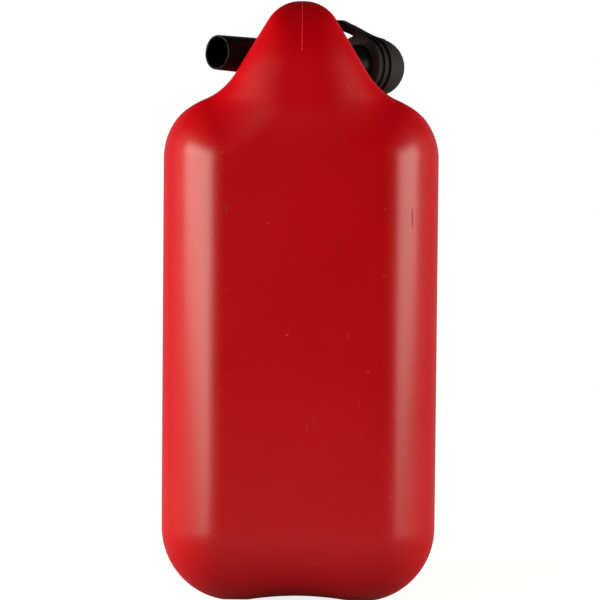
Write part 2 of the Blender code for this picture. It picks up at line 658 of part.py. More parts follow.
def make_cap(parts, cutters, material, seal_material):
    """Seal, threaded inner shell and push-down outer shell, all on the neck's axis."""
    seal_radius = THREAD_BORE - GAP
    seal_low = NECK_HEIGHT + GAP
    seal_high = seal_low + SEAL_THICKNESS
    seal_profile = [(0.0, seal_high), (seal_radius, seal_high), (seal_radius, seal_low), (0.0, seal_low)]
    place = Matrix.Translation((0.0, NECK_Y, PLATFORM_HEIGHT))
    seal = add_object("cap_seal", turned_mesh("seal", seal_profile, ROUND_STEPS), parts, seal_material)
    seal.matrix_world = place

    roof_low = seal_high + GAP
    roof_high = roof_low + CAP_SHELL_WALL
    skirt_low = roof_high - CAP_HEIGHT
    inner_profile = [
        (0.0, roof_high), (CAP_SHELL_RADIUS, roof_high), (CAP_SHELL_RADIUS, skirt_low),
        (THREAD_BORE, skirt_low), (THREAD_BORE, roof_low), (0.0, roof_low),
    ]
    inner = add_object("cap_inner_shell", turned_mesh("inner", inner_profile, ROUND_STEPS), parts, material)
    inner.matrix_world = place
    ridge_mesh = thread_mesh(
        "cap_thread", THREAD_BORE + 0.0004, NECK_RADIUS + THREAD_CLEARANCE,
        THREAD_START + THREAD_PITCH / 2, THREAD_TURNS,
    )
    ridge = make_cutter(add_object("cap_ridge", ridge_mesh, cutters))
    ridge.matrix_world = place
    add_boolean(inner, "UNION", ridge)
    teeth = make_cutter(add_object("inner_teeth", teeth_mesh("inner_teeth", roof_high, 0.0), cutters))
    teeth.matrix_world = place
    add_boolean(inner, "UNION", teeth)

    crown_low = roof_high + TOOTH_HEIGHT + PUSH_TRAVEL + GAP
    crown_high = crown_low + OUTER_SHELL_WALL
    lip_high = skirt_low - GAP
    lip_low = lip_high - 0.0012
    chamfer = 0.0012
    outer_profile = [
        (0.0, crown_high), (CAP_RADIUS - chamfer, crown_high), (CAP_RADIUS, crown_high - chamfer),
        (CAP_RADIUS, lip_low), (CAP_SHELL_RADIUS - 0.0006, lip_low), (CAP_SHELL_RADIUS - 0.0006, lip_high),
        (CAP_BORE, lip_high), (CAP_BORE, crown_low), (0.0, crown_low),
    ]
    outer_mesh = turned_mesh("outer", outer_profile, 2 * FLUTE_COUNT)
    for vertex in outer_mesh.vertices:
        radius = math.hypot(vertex.co.x, vertex.co.y)
        turn = round(math.atan2(vertex.co.y, vertex.co.x) / math.tau * 2 * FLUTE_COUNT)
        if turn % 2 and abs(radius - CAP_RADIUS) < 0.0001:
            vertex.co.x *= 1 - FLUTE_DEPTH / radius
            vertex.co.y *= 1 - FLUTE_DEPTH / radius
    outer = add_object("cap_outer_shell", outer_mesh, parts, material)
    outer.matrix_world = place
    drive = teeth_mesh("outer_teeth", crown_low - TOOTH_HEIGHT, math.pi / TOOTH_COUNT)
    drive_teeth = make_cutter(add_object("outer_teeth", drive, cutters))
    drive_teeth.matrix_world = place
    add_boolean(outer, "UNION", drive_teeth)
    return seal, inner, outer


def teeth_mesh(name, low, turn):
    """Ring of radial teeth, one tooth high above or below a cap shell's roof."""
    bm = bmesh.new()
    root = 0.0004
    length = THREAD_BORE * 0.45
    for index in range(TOOTH_COUNT):
        angle = turn + math.tau * index / TOOTH_COUNT
        tooth = bmesh.ops.create_cube(bm, size=1.0)["verts"]
        bmesh.ops.scale(bm, verts=tooth, vec=(length, 0.0025, TOOTH_HEIGHT + root))
        lift = low + TOOTH_HEIGHT / 2 + (root / 2 if turn else -root / 2)
        bmesh.ops.translate(bm, verts=tooth, vec=(THREAD_BORE - length / 2, 0.0, lift))
        bmesh.ops.rotate(bm, verts=tooth, cent=(0, 0, 0), matrix=Matrix.Rotation(angle, 3, "Z"))
    mesh = bpy.data.meshes.new(name)
    bm.to_mesh(mesh)
    bm.free()
    return mesh


def make_spout(parts, cutters, tube_material, nut_material, seal_material):
    """Tube, gasket and nut on the spout's axis, stored crosswise under the grip."""
    place = frame_at(spout_point(0.0), SPOUT_AXIS)
    nut_start = SPOUT_TUBE_LENGTH
    flange_start = nut_start + NUT_FACE + GAP
    flange_end = flange_start + TUBE_FLANGE_THICKNESS
    flange_radius = THREAD_BORE - GAP
    collar_start = nut_start - 0.003
    flare_start = collar_start - SPOUT_COLLAR_LENGTH + 0.003
    bore_tip = SPOUT_TIP_RADIUS - SPOUT_WALL
    bore_root = SPOUT_ROOT_RADIUS - SPOUT_WALL
    rim = 0.0004
    tube_profile = [
        (flange_radius, flange_end), (flange_radius, flange_start), (SPOUT_COLLAR_RADIUS, flange_start),
        (SPOUT_COLLAR_RADIUS, collar_start), (SPOUT_ROOT_RADIUS, flare_start),
        (SPOUT_TIP_RADIUS, rim), (SPOUT_TIP_RADIUS - rim, 0.0), (bore_tip, 0.0),
        (bore_root, flare_start), (bore_root, flange_end),
    ]
    tube = add_object("spout_tube", turned_mesh("tube", tube_profile, TUBE_STEPS), parts, tube_material)
    tube.matrix_world = place

    gasket_start = flange_end + GAP
    gasket_end = gasket_start + GASKET_THICKNESS
    gasket_profile = [
        (flange_radius, gasket_end), (flange_radius, gasket_start),
        (bore_root, gasket_start), (bore_root, gasket_end),
    ]
    gasket_mesh = turned_mesh("gasket", gasket_profile, TUBE_STEPS)
    gasket = add_object("spout_gasket", gasket_mesh, parts, seal_material)
    gasket.matrix_world = place

    nut_end = nut_start + NUT_LENGTH
    groove = NUT_RADIUS - NUT_GROOVE
    ridge_gap = (NUT_LENGTH - NUT_FACE) / 2
    ridge = 0.0009
    outer_side = []
    for step in (2, 1, 0):
        middle = nut_start + ridge + ridge_gap * step
        outer_side += [(NUT_RADIUS, middle + ridge / 2), (NUT_RADIUS, middle - ridge / 2)]
        if step:
            outer_side += [(groove, middle - 1.5 * ridge), (groove, middle - ridge_gap + 1.5 * ridge)]
    nut_profile = [
        (groove, nut_end), *outer_side, (NUT_RADIUS - ridge, nut_start),
        (SPOUT_COLLAR_RADIUS + GAP, nut_start), (SPOUT_COLLAR_RADIUS + GAP, nut_start + NUT_FACE),
        (THREAD_BORE, nut_start + NUT_FACE), (THREAD_BORE, nut_end),
    ]
    nut = add_object("spout_nut", turned_mesh("nut", nut_profile, ROUND_STEPS), parts, nut_material)
    nut.matrix_world = place
    return tube, gasket, nut


def strap_route():
    """Middle line of the strap, from the neck ring up beside the handle to the plug."""
    heading = Vector((0.62, -0.785, 0.0)).normalized()
    ring_z = PLATFORM_HEIGHT + NECK_FLANGE_HEIGHT + GAP + RING_THICKNESS / 2
    neck = Vector((0.0, NECK_Y, ring_z))
    ring_radius = NECK_RADIUS + GAP + RING_WALL
    plug_middle = spout_point(SPOUT_TUBE_LENGTH + NUT_LENGTH + 0.45 * PLUG_LENGTH)
    plug_top = plug_middle + Vector((0.0, 0.0, PLUG_RADIUS - 0.0008))
    tab = neck + heading * (ring_radius + TAB_LENGTH)
    peak_z = BODY_HEIGHT - STRAP_PEAK_DEPTH
    rise = peak_z - ring_z
    climb = tab + Vector((0.3 * TAB_LENGTH, -0.66 * TAB_LENGTH, 0.67 * rise))
    peak = Vector((plug_top.x - STRAP_SPAN_WIDTH, plug_top.y + STRAP_SPAN_LENGTH, peak_z))
    span = peak - climb
    return [
        neck + heading * (ring_radius - RING_THICKNESS),
        tab + Vector((0.0, 0.0, GAP)) - heading * (0.38 * TAB_LENGTH),
        tab + Vector((0.0, 0.0, 0.22 * rise)),
        climb,
        climb + Vector((0.345 * span.x, 0.446 * span.y, 0.91 * span.z)),
        peak,
        plug_top + Vector((-0.62 * STRAP_SPAN_WIDTH, 0.61 * STRAP_SPAN_LENGTH, STRAP_RISE_HEIGHT)),
        plug_top + Vector((-0.29 * STRAP_SPAN_WIDTH, 0.3 * STRAP_SPAN_LENGTH, 0.42 * STRAP_RISE_HEIGHT)),
        plug_top,
    ]


def smooth_route(points, per_span):
    """Points of a smooth curve through the route's own points."""
    padded = [2 * points[0] - points[1], *points, 2 * points[-1] - points[-2]]
    route = []
    for n in range(1, len(padded) - 2):
        a, b, c, d = padded[n - 1:n + 3]
        for step in range(per_span):
            t = step / per_span
            route.append(
                0.5 * (2 * b + (c - a) * t + (2 * a - 5 * b + 4 * c - d) * t**2
                       + (3 * b - a - 3 * c + d) * t**3)
            )
    route.append(points[-1])
    return route


def band_mesh(name, route, width, thickness, start_side, end_side):
    """Flat band swept along a route, its width turning from one direction to another."""
    bm = bmesh.new()
    rings = []
    for n, point in enumerate(route):
        ahead = route[min(n + 1, len(route) - 1)] - route[max(n - 1, 0)]
        ahead.normalize()
        side = start_side.lerp(end_side, min(1.0, 1.6 * n / (len(route) - 1)))
        side = (side - ahead * side.dot(ahead)).normalized()
        up = ahead.cross(side)
        corners = ((-1, -1), (1, -1), (1, 1), (-1, 1))
        rings.append([
            bm.verts.new(point + side * (a * width / 2) + up * (b * thickness / 2)) for a, b in corners
        ])
    for low, high in zip(rings, rings[1:]):
        for n in range(4):
            bm.faces.new([low[n], low[(n + 1) % 4], high[(n + 1) % 4], high[n]])
    bm.faces.new(rings[0])
    bm.faces.new(rings[-1])
    bmesh.ops.recalc_face_normals(bm, faces=bm.faces)
    mesh = bpy.data.meshes.new(name)
    bm.to_mesh(mesh)
    bm.free()
    return mesh


def make_strap(parts, cutters, material):
    """Neck ring, strap and nut plug in one flexible moulding."""
    ring_low = NECK_FLANGE_HEIGHT + GAP
    ring_high = ring_low + RING_THICKNESS
    ring_bore = NECK_RADIUS + GAP
    ring_profile = [
        (ring_bore + RING_WALL, ring_high), (ring_bore + RING_WALL, ring_low),
        (ring_bore, ring_low), (ring_bore, ring_high),
    ]
    ring = make_cutter(add_object("strap_ring", turned_mesh("ring", ring_profile, ROUND_STEPS), cutters))
    ring.matrix_world = Matrix.Translation((0.0, NECK_Y, PLATFORM_HEIGHT))

    plug_start = SPOUT_TUBE_LENGTH + NUT_LENGTH + GAP
    plug_end = plug_start + PLUG_LENGTH
    dome = []
    for step in range(1, 6):
        angle = math.radians(11 * step)
        dome.append((PLUG_RADIUS * math.cos(angle), plug_start + 0.004 + PLUG_RADIUS * math.sin(angle)))
    spigot = THREAD_BORE - GAP
    inside_end = plug_end - PLUG_WALL * 2
    plug_profile = [
        (0.0, dome[-1][1]), *reversed(dome), (PLUG_RADIUS, plug_start + 0.004), (PLUG_RADIUS, plug_start),
        (spigot, plug_start), (spigot, plug_start - PLUG_SPIGOT_DEPTH),
        (spigot - PLUG_WALL, plug_start - PLUG_SPIGOT_DEPTH), (spigot - PLUG_WALL, inside_end - 0.004),
        (0.0, inside_end - 0.002),
    ]
    plug = make_cutter(add_object("strap_plug", turned_mesh("plug", plug_profile, ROUND_STEPS), cutters))
    plug.matrix_world = frame_at(spout_point(0.0), SPOUT_AXIS)

    level_axis = Vector((SPOUT_AXIS.x, SPOUT_AXIS.y, 0.0)).normalized()
    route = smooth_route(strap_route(), 4)
    band = band_mesh("strap", route, STRAP_WIDTH, STRAP_THICKNESS, level_axis, level_axis)
    strap = add_object("retaining_strap", band, parts, material)
    add_boolean(strap, "UNION", ring)
    add_boolean(strap, "UNION", plug)
    return strap


def clear_scene():
    """Remove the objects that the file opened with."""
    for obj in list(bpy.data.objects):
        bpy.data.objects.remove(obj)


def main():
    """Build the fuel can."""
    clear_scene()
    parts = bpy.data.collections.new("fuel_can")
    cutters = bpy.data.collections.new("cutters")
    for collection in (parts, cutters):
        bpy.context.scene.collection.children.link(collection)
    red = plastic("red_hdpe", (0.40, 0.002, 0.010), 0.38)
    black = plastic("black_plastic", (0.012, 0.012, 0.012), 0.42)
    flexible = plastic("black_flexible", (0.016, 0.016, 0.017), 0.5)
    rubber = plastic("grey_seal", (0.06, 0.06, 0.06), 0.8)
    make_can_body(parts, cutters, red)
    make_cap(parts, cutters, black, rubber)
    make_spout(parts, cutters, flexible, black, rubber)
    make_strap(parts, cutters, flexible)


main()
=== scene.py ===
"""Ten-litre plastic fuel can with its cap, and the pouring spout stored under its handle.

Run as a script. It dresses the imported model: the blow-moulded can, the push-and-turn cap, the spout with
its nut, and the strap that holds the spout, each with its own moulded plastic.
"""

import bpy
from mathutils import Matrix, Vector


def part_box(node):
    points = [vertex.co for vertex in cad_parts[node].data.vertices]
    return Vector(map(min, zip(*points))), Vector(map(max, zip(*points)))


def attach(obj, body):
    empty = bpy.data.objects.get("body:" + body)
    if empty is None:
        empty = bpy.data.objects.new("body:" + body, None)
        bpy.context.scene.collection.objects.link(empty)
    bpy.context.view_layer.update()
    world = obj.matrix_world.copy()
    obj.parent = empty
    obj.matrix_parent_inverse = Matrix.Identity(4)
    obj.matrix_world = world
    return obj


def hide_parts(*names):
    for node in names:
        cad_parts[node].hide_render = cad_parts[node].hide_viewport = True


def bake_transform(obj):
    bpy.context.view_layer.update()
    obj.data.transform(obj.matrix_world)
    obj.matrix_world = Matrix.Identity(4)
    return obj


bl_info = {
    "name": "Plastic Fuel Can",
    "version": (1, 0, 0),
    "blender": (4, 5, 0),
    "location": "3D View > Sidebar > Fuel Can",
    "description": "Builds a blow-moulded fuel can with its cap, stored spout and strap",
    "category": "Object",
}

import math

import bmesh
import bpy
import numpy as np
from bpy.props import FloatProperty, FloatVectorProperty, IntProperty, PointerProperty
from bpy.types import Operator, Panel, PropertyGroup
from mathutils import Matrix, Vector

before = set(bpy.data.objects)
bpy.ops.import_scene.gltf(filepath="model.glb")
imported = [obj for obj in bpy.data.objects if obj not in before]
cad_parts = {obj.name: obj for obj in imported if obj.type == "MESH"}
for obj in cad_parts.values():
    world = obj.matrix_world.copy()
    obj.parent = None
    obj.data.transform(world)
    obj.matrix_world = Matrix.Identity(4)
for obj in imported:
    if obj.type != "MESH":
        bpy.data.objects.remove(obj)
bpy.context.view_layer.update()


# Angle above which an edge stays sharp, and distance within which points are one
CREASE = math.radians(40)
MERGE = 0.00001
# Share of a profile's side that a rounded corner may take up
LARGEST_FILLET = 0.49
# Steps round the turned pieces and round the cap
ROUND_STEPS, CAP_STEPS = 96, 128
# Share of the can's half width that an upright corner's radius may take up, at the rear and in front
REAR_CORNER, FRONT_CORNER = 0.7, 0.55
# Smallest radius that an upright corner runs out to
SHARPEST = 0.0005
# Exponent of the grip's oval section
OVAL = 2.6
# What lies nearer to the can's form than this is its outer skin
SKIN_DEPTH = 0.0008
# Share of the way to its neighbours' middle that a point of the skin is moved at a time
EASE = 0.6
# Clearance between pieces that fit together
GAP = 0.0003
# Height of the thread's start above the neck's foot
THREAD_START = 0.0085
# Distance between points of the mould line
FLASH_SPACING = 0.0015
# Length of the spout's free end that carries a burr, and half the burr's height
RIM, BURR = 0.0012, 0.00012
# Middle line of the strap, from the neck's ring to the plug
STRAP_ROUTE = (
    (0.0103, 0.0750, 0.3253), (0.0146, 0.0696, 0.3256), (0.0164, 0.0672, 0.3318), (0.0188, 0.0620, 0.3448),
    (0.0228, 0.0542, 0.3560), (0.0304, 0.0445, 0.3536), (0.0379, 0.0345, 0.3494), (0.0444, 0.0265, 0.3459),
    (0.0502, 0.0189, 0.3439),
)
# Scratches on the rear face: start and end in x and z, and width
DARK_NICKS = (((0.0663, 0.2412), (0.0668, 0.2300), 0.0005), ((-0.0440, 0.2425), (-0.0446, 0.2372), 0.0007))
PALE_MARKS = (((0.0088, 0.0290), (0.0092, 0.0278), 0.0009), ((0.0132, 0.0282), (0.0136, 0.0274), 0.0007))
# The scratches lie behind this y
REAR_PART = -0.04
# Two heights between which the can turns matt from handling, and how matt it is at each
HANDLED_TOP = (0.282, 0.304, 0.0, 1.0)
HANDLED_FOOT = (0.008, 0.046, 0.9, 0.0)
RUBBED_RED = (0.56, 0.10, 0.09, 1.0)
DUST = (0.05, 0.048, 0.045, 1.0)
WHITE = (1.0, 1.0, 1.0, 1.0)
# Colour, roughness, scale of the grain and stretch of the flow of each plain plastic
PLASTICS = {
    # Mould line plastic: its colour is painted paler than the can's, painted light that makes the thin
    # raised line read light instead of shaded
    "red_flash": ("flash", 0.35, 1400.0),
    "black_plastic": ("fittings", 0.40, 1400.0),
    "black_tube": ("flexible", 0.36, 1100.0, (0.25, 0.25, 9.0)),
    "black_flexible": ("flexible", 0.42, 1000.0),
}
LAMP_COLOUR = (1.0, 0.94, 0.81)
# Distance of the front and side lights from the can's middle
LAMP_DISTANCE = 1.5
# How brightly the floor shows to the camera
FLOOR_GLOW = 0.84


def metres(name, description, default):
    """A size in metres that a user can change."""
    return FloatProperty(
        name=name, description=description, default=default, min=0.0, unit="LENGTH", precision=5
    )


def degrees(name, description, default):
    """An angle that a user can change, given in degrees."""
    return FloatProperty(name=name, description=description, default=math.radians(default), subtype="ANGLE")


def amount(name, description, default):
    """A plain number that a user can change."""
    return FloatProperty(name=name, description=description, default=default, min=0.0)


def tint(name, description, default):
    """A colour that a user can change."""
    return FloatVectorProperty(
        name=name, description=description, default=default, size=3, min=0.0, max=1.0, subtype="COLOR"
    )


class FuelCanBody(PropertyGroup):
    """Sizes of the blow-moulded can."""

    height: metres("Height", "Ground to the top of the handle", 0.365)
    width: metres("Width", "Side to side", 0.1664)
    length: metres("Length", "Rear face to front face", 0.248)
    corner_radius: metres("Corner radius", "Radius of the upright corners", 0.038)
    base_radius: metres("Base radius", "Radius of the edge round the base", 0.046)
    base_arch: metres("Base arch", "Height of the arch between the feet", 0.0025)
    arch_half_width: metres("Arch half width", "Middle of the base to a foot, across", 0.030)
    arch_half_length: metres("Arch half length", "Middle of the base to a foot, along", 0.046)
    hump_height: metres("Hump height", "Shoulder to the top of the handle", 0.0950)
    shoulder_radius: metres("Shoulder radius", "Radius of the tank's shoulder", 0.0387)
    shoulder_slope: degrees("Shoulder slope", "Slope where shoulder and saddle meet", 21.3)
    saddle_radius: metres("Saddle radius", "Hollow between the shoulder and the hump", 0.0393)
    flank_slope: degrees("Flank slope", "Slope of the hump's sides", 58.8)
    rear_crest_radius: metres("Rear crest radius", "Rear face over to the handle", 0.040)
    front_crest_radius: metres("Front crest radius", "Front face over to the neck's platform", 0.020)
    rear_post_depth: metres("Rear post depth", "Rear face to the handle's window", 0.036)
    window_length: metres("Window length", "Length of the opening under the grip", 0.126)
    window_height: metres("Window height", "Tank's crown to the grip", 0.0272)
    window_corner_radius: metres("Window corner radius", "Corners of the window", 0.009)
    front_post_depth: metres("Front post depth", "Depth of the handle's front post", 0.020)
    post_corner_radius: metres("Post corner radius", "Edges of the window", 0.010)
    post_top_radius: metres("Post top radius", "Handle's front end, over to its front post", 0.016)
    grip_width: metres("Grip width", "Width of the grip", 0.034)
    grip_height: metres("Grip height", "Height of the grip", 0.020)
    grip_blend: metres("Grip blend", "How far the grip flows into its posts", 0.020)
    platform_drop: metres("Platform drop", "Handle's top down to the neck's platform", 0.043)
    platform_edge_radius: metres("Platform edge radius", "Edge round the platform", 0.006)
    platform_fillet: metres("Platform fillet", "Platform up to the front post", 0.007)
    crown_ridge: metres("Crown ridge", "Half width of the ridge under the handle", 0.05385)
    crown_side_drop: metres("Crown side drop", "Ridge down to the crown's sides", 0.0158)
    facet: metres("Facet", "Size of the skin's facets", 0.0023)
    flash_width: metres("Flash width", "Width of the line that the mould leaves", 0.00065)


class FuelCanNeck(PropertyGroup):
    """Sizes of the neck and the cap."""

    setback: metres("Setback", "Front face to the neck's axis", 0.036)
    bore_radius: metres("Bore radius", "Inside of the neck", 0.0125)
    radius: metres("Neck radius", "Outside of the neck", 0.0147)
    height: metres("Neck height", "Platform to the neck's lip", 0.023)
    flange_radius: metres("Flange radius", "Flange at the neck's foot", 0.0195)
    thread_depth: metres("Thread depth", "How far the thread stands out", 0.0013)
    thread_pitch: metres("Thread pitch", "Rise in one turn", 0.004)
    cap_radius: metres("Cap radius", "Outside of the cap over its ribs", 0.0209)
    cap_bore: metres("Cap bore", "Inside of the cap's outer shell", 0.0189)
    cap_lip_bore: metres("Cap lip bore", "Lip that holds the two shells together", 0.0176)
    rib_count: IntProperty(name="Ribs", description="Grip ribs round the cap", default=48, min=3)
    rib_radius: metres("Rib radius", "Radius of each grip rib", 0.0008)


class FuelCanSpout(PropertyGroup):
    """Sizes of the spout, its nut and its strap."""

    tip: FloatVectorProperty(
        name="Tip", description="Middle of the free end", default=(-0.0516, -0.0829, 0.3337),
        subtype="TRANSLATION", unit="LENGTH", precision=5,
    )
    heading: degrees("Heading", "Direction across the can", 45.0)
    tilt: degrees("Tilt", "Fall towards the nut", 2.9)
    length: metres("Tube length", "Free end to the nut", 0.122)
    tip_radius: metres("Tip radius", "Outside at the free end", 0.0106)
    root_radius: metres("Root radius", "Outside at the nut", 0.0122)
    collar_radius: metres("Collar radius", "Collar that the nut turns on", 0.013)
    flange_radius: metres("Flange radius", "Flange that the nut pulls on", 0.0161)
    wall: metres("Wall", "Wall of the tube", 0.0014)
    nut_radius: metres("Nut radius", "Outside of the nut over its ridges", 0.0195)
    nut_length: metres("Nut length", "Length of the nut", 0.0128)
    nut_bore: metres("Nut bore", "Inside of the nut", 0.0164)
    ridge_count: IntProperty(name="Ridges", description="Ridges round the nut", default=3, min=1)
    plug_radius: metres("Plug radius", "Outside of the plug in the nut", 0.0185)
    strap_width: metres("Strap width", "Width of the strap", 0.007)
    strap_thickness: metres("Strap thickness", "Thickness of the strap", 0.0022)
    strap_rib: metres("Strap rib", "How far the strap's rib stands out below", 0.0036)


class FuelCanColours(PropertyGroup):
    """Colours of the mouldings."""

    can: tint("Can", "Red polyethylene of the can", (0.395, 0.0002, 0.0035))
    # The mould line's colour is painted paler than the can's: painted light, so the thin raised line shows
    # light rather than in its own shade
    flash: tint("Mould line", "Thin, paler polyethylene of the mould line", (0.46, 0.012, 0.014))
    fittings: tint("Fittings", "Black plastic of the cap and the nut", (0.0020, 0.0020, 0.0022))
    flexible: tint("Flexible", "Black plastic of the tube and the strap", (0.0020, 0.0020, 0.0021))
    seals: tint("Seals", "Grey rubber of the seals", (0.06, 0.06, 0.06))
    floor: tint("Floor", "Pale floor under the can", (0.40, 0.40, 0.40))


class FuelCanStage(PropertyGroup):
    """Camera and light."""

    camera_distance: metres("Camera distance", "Camera to the rear face", 1.9)
    camera_height: metres("Camera height", "Camera above the ground", 0.300)
    aim_height: metres("Aim height", "What the camera looks at, above the ground", 0.1864)
    focal_length: amount("Focal length", "In millimetres", 191.9)
    roll: degrees("Roll", "Lean of the camera", 0.5)
    left_power: amount("Left light", "Power of the left soft box", 23.0)
    right_power: amount("Right light", "Power of the right soft box", 12.3)
    side_power: amount("Side lights", "Power of the soft side lights", 30.0)
    fill_power: amount("Fill", "Power of the soft fill", 1.6)
    floor_radius: metres("Floor radius", "How far the floor reaches", 0.7)
    surround: amount("Surround", "Light of the pale room behind", 0.22)


def rounded(first, second, radius):
    """Where both of two shapes are, its outer edge rounded."""
    inside = np.minimum(np.maximum(first, second) + radius, 0.0)
    return inside + np.hypot(np.maximum(first + radius, 0.0), np.maximum(second + radius, 0.0)) - radius


def filleted(first, second, radius):
    """Where either of two shapes is, its inner corner filleted."""
    return -rounded(-first, -second, radius)


def blended(first, second, width):
    """Lower of two values, one flowing into the other over a width."""
    share = np.maximum(width - np.abs(first - second), 0.0) / width
    return np.minimum(first, second) - share**2 * width / 4


class CanForm:
    """The can's outer form, as a distance from its surface."""

    def __init__(self, sizes):
        s = self.sizes = sizes
        self.half = s.width / 2
        self.rear, self.front = -s.length / 2, s.length / 2
        self.shoulder = s.height - s.hump_height
        self.window_rear = self.rear + s.rear_post_depth
        self.window_front = self.window_rear + s.window_length
        self.post_front = self.window_front + s.front_post_depth
        self.crown = s.height - s.grip_height - s.window_height
        self.platform = s.height - s.platform_drop
        slope, steep = s.shoulder_slope, s.flank_slope
        self.saddle_x = self.half - s.shoulder_radius * (1 - math.sin(slope))
        self.saddle_z = self.shoulder + s.shoulder_radius * math.cos(slope)
        self.hollow_x = self.saddle_x + s.saddle_radius * math.sin(slope)
        self.hollow_z = self.saddle_z + s.saddle_radius * math.cos(slope)
        self.flank_x = self.hollow_x - s.saddle_radius * math.sin(steep)
        self.flank_z = self.hollow_z - s.saddle_radius * math.cos(steep)
        self.crest = (self.flank_x - (s.height - self.flank_z) / math.tan(steep)) / (
            math.sin(steep) - (1 - math.cos(steep)) / math.tan(steep)
        )
        self.crest_x = self.crest * math.sin(steep)
        self.crest_z = s.height - self.crest * (1 - math.cos(steep))

    def half_width(self, z):
        """Half the can's width at each height."""
        s = self.sizes
        rise = np.clip(z - self.shoulder, 0.0, s.shoulder_radius)
        shoulder = self.half - s.shoulder_radius + np.sqrt(s.shoulder_radius**2 - rise**2)
        drop = np.clip(self.hollow_z - z, 0.0, s.saddle_radius)
        saddle = self.hollow_x - np.sqrt(s.saddle_radius**2 - drop**2)
        flank = self.flank_x - (z - self.flank_z) / math.tan(s.flank_slope)
        rise = np.clip(z - s.height + self.crest, -self.crest, self.crest)
        crest = np.sqrt(self.crest**2 - rise**2)
        places = [z <= self.saddle_z, z <= self.flank_z, z <= self.crest_z]
        return np.select(places, [shoulder, saddle, flank], crest)

    def bell(self, x, z):
        """Distance outside the bell outline, in the plane across the can."""
        s = self.sizes
        x = np.abs(x)
        inward, upward = -math.cos(s.flank_slope), math.sin(s.flank_slope)
        past_shoulder = (z - self.saddle_z) * math.sin(s.shoulder_slope) - (
            x - self.saddle_x
        ) * math.cos(s.shoulder_slope)
        past_saddle = (x - self.flank_x) * inward + (z - self.flank_z) * upward
        past_flank = (x - self.crest_x) * inward + (z - self.crest_z) * upward
        crest = np.hypot(x, z - s.height + self.crest) - self.crest
        flank = (x - self.flank_x) * upward - (z - self.flank_z) * inward
        saddle = s.saddle_radius - np.hypot(x - self.hollow_x, z - self.hollow_z)
        across = np.maximum(x - self.half + s.shoulder_radius, 0.0)
        shoulder = np.hypot(across, z - self.shoulder) - s.shoulder_radius
        places = [past_flank > 0, past_saddle > 0, past_shoulder > 0, z > self.shoulder]
        return np.select(places, [crest, flank, saddle, shoulder], x - self.half)

    def hull(self, x, y, z):
        """Distance outside the plain can: bell outline, end faces, corners and rounded base."""
        s = self.sizes
        rise = np.clip(z - s.height + s.rear_crest_radius, 0.0, s.rear_crest_radius)
        rear = self.rear + s.rear_crest_radius - np.sqrt(s.rear_crest_radius**2 - rise**2)
        rise = np.clip(z - self.platform + s.front_crest_radius, 0.0, s.front_crest_radius)
        front = self.front - s.front_crest_radius + np.sqrt(s.front_crest_radius**2 - rise**2)
        share = REAR_CORNER + (FRONT_CORNER - REAR_CORNER) * np.clip(y / self.front + 0.5, 0.0, 1.0)
        radius = blended(s.corner_radius, share * self.half_width(z), s.corner_radius / 2)
        radius = np.maximum(blended(radius, s.height - z, self.crest / 4), SHARPEST)
        wall = rounded(self.bell(x, z), np.where(y > 0, y - front, rear - y), radius)
        middle = np.minimum((x / s.arch_half_width) ** 2, (y / s.arch_half_length) ** 2)
        arch = s.base_arch * np.clip(1 - middle, 0.0, 1.0)
        return rounded(wall, arch - z, s.base_radius)

    def crown_height(self, x):
        """Height of the tank's crown under the handle."""
        wave = np.cos(math.pi / 2 * np.minimum(np.abs(x) / self.sizes.crown_ridge, 1.0)) ** 2
        return self.crown + self.sizes.crown_side_drop * (wave - 1)

    def grip(self, x, z):
        """Distance outside the grip's oval section."""
        s = self.sizes
        across = np.abs(x) / (s.grip_width / 2)
        upward = np.abs(z - s.height + s.grip_height / 2) / (s.grip_height / 2)
        return ((across**OVAL + upward**OVAL) ** (1 / OVAL) - 1) * s.grip_height / 2

    def gap(self, points):
        """Distance of each point outside the can, negative inside."""
        s = self.sizes
        x, y, z = points.T
        step = filleted(z - self.platform, y - self.post_front, s.platform_fillet)
        high = np.clip((z - self.platform) / s.platform_drop * 2 - 0.2, 0.0, 1.0)
        edge = s.platform_edge_radius + (s.post_top_radius - s.platform_edge_radius) * high
        tank = rounded(self.hull(x, y, z), step, edge)
        middle = (self.window_rear + self.window_front) / 2
        reach = 0.0003
        slope = (self.crown_height(x + reach) - self.crown_height(x - reach)) / (2 * reach)
        under = (self.crown_height(x) - z) / np.sqrt(1 + slope**2)
        window = rounded(np.abs(y - middle) - s.window_length / 2, under, s.window_corner_radius)
        posts = rounded(tank, -window, s.post_corner_radius)
        return np.maximum(blended(posts, self.grip(x, z), s.grip_blend), tank)

    def slope(self, points):
        """Direction in which the distance grows, at each point."""
        reach = 0.00005
        return np.stack([
            (self.gap(points + step) - self.gap(points - step)) / (2 * reach) for step in np.eye(3) * reach
        ], axis=1)

    def onto(self, points, rounds):
        """Bring points onto the surface, each by a short way in a round."""
        for _ in range(rounds):
            slope = self.slope(points)
            move = slope * (self.gap(points) / np.maximum((slope**2).sum(axis=1), 0.05))[:, None]
            far = np.maximum(np.linalg.norm(move, axis=1), 1e-6)
            points = points - move * np.minimum(1.0, 0.004 / far)[:, None]
        return points


def new_object(name, data):
    """Add an object to the scene, at the origin."""
    obj = bpy.data.objects.new(name, data)
    bpy.context.scene.collection.objects.link(obj)
    return obj


def settle(obj):
    """Turn an object with its modifiers into a plain mesh object of the same name."""
    bpy.context.view_layer.update()
    mesh = bpy.data.meshes.new_from_object(obj.evaluated_get(bpy.context.evaluated_depsgraph_get()))
    name = obj.name
    bpy.data.objects.remove(obj)
    mesh.name = name
    return new_object(name, mesh)


def shade(mesh):
    """Smooth shading, with the sharp edges kept."""
    mesh.shade_smooth()
    mesh.set_sharp_from_angle(angle=CREASE)


def paint(obj, material):
    """Give a piece its plastic."""
    obj.data.materials.clear()
    obj.data.materials.append(get_material(material))


def finish_piece(obj, body, material, replaced=()):
    """Paint a piece, and say what it rides on and stands for."""
    paint(obj, material)
    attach(obj, body)
    if replaced:
        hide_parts(*replaced)


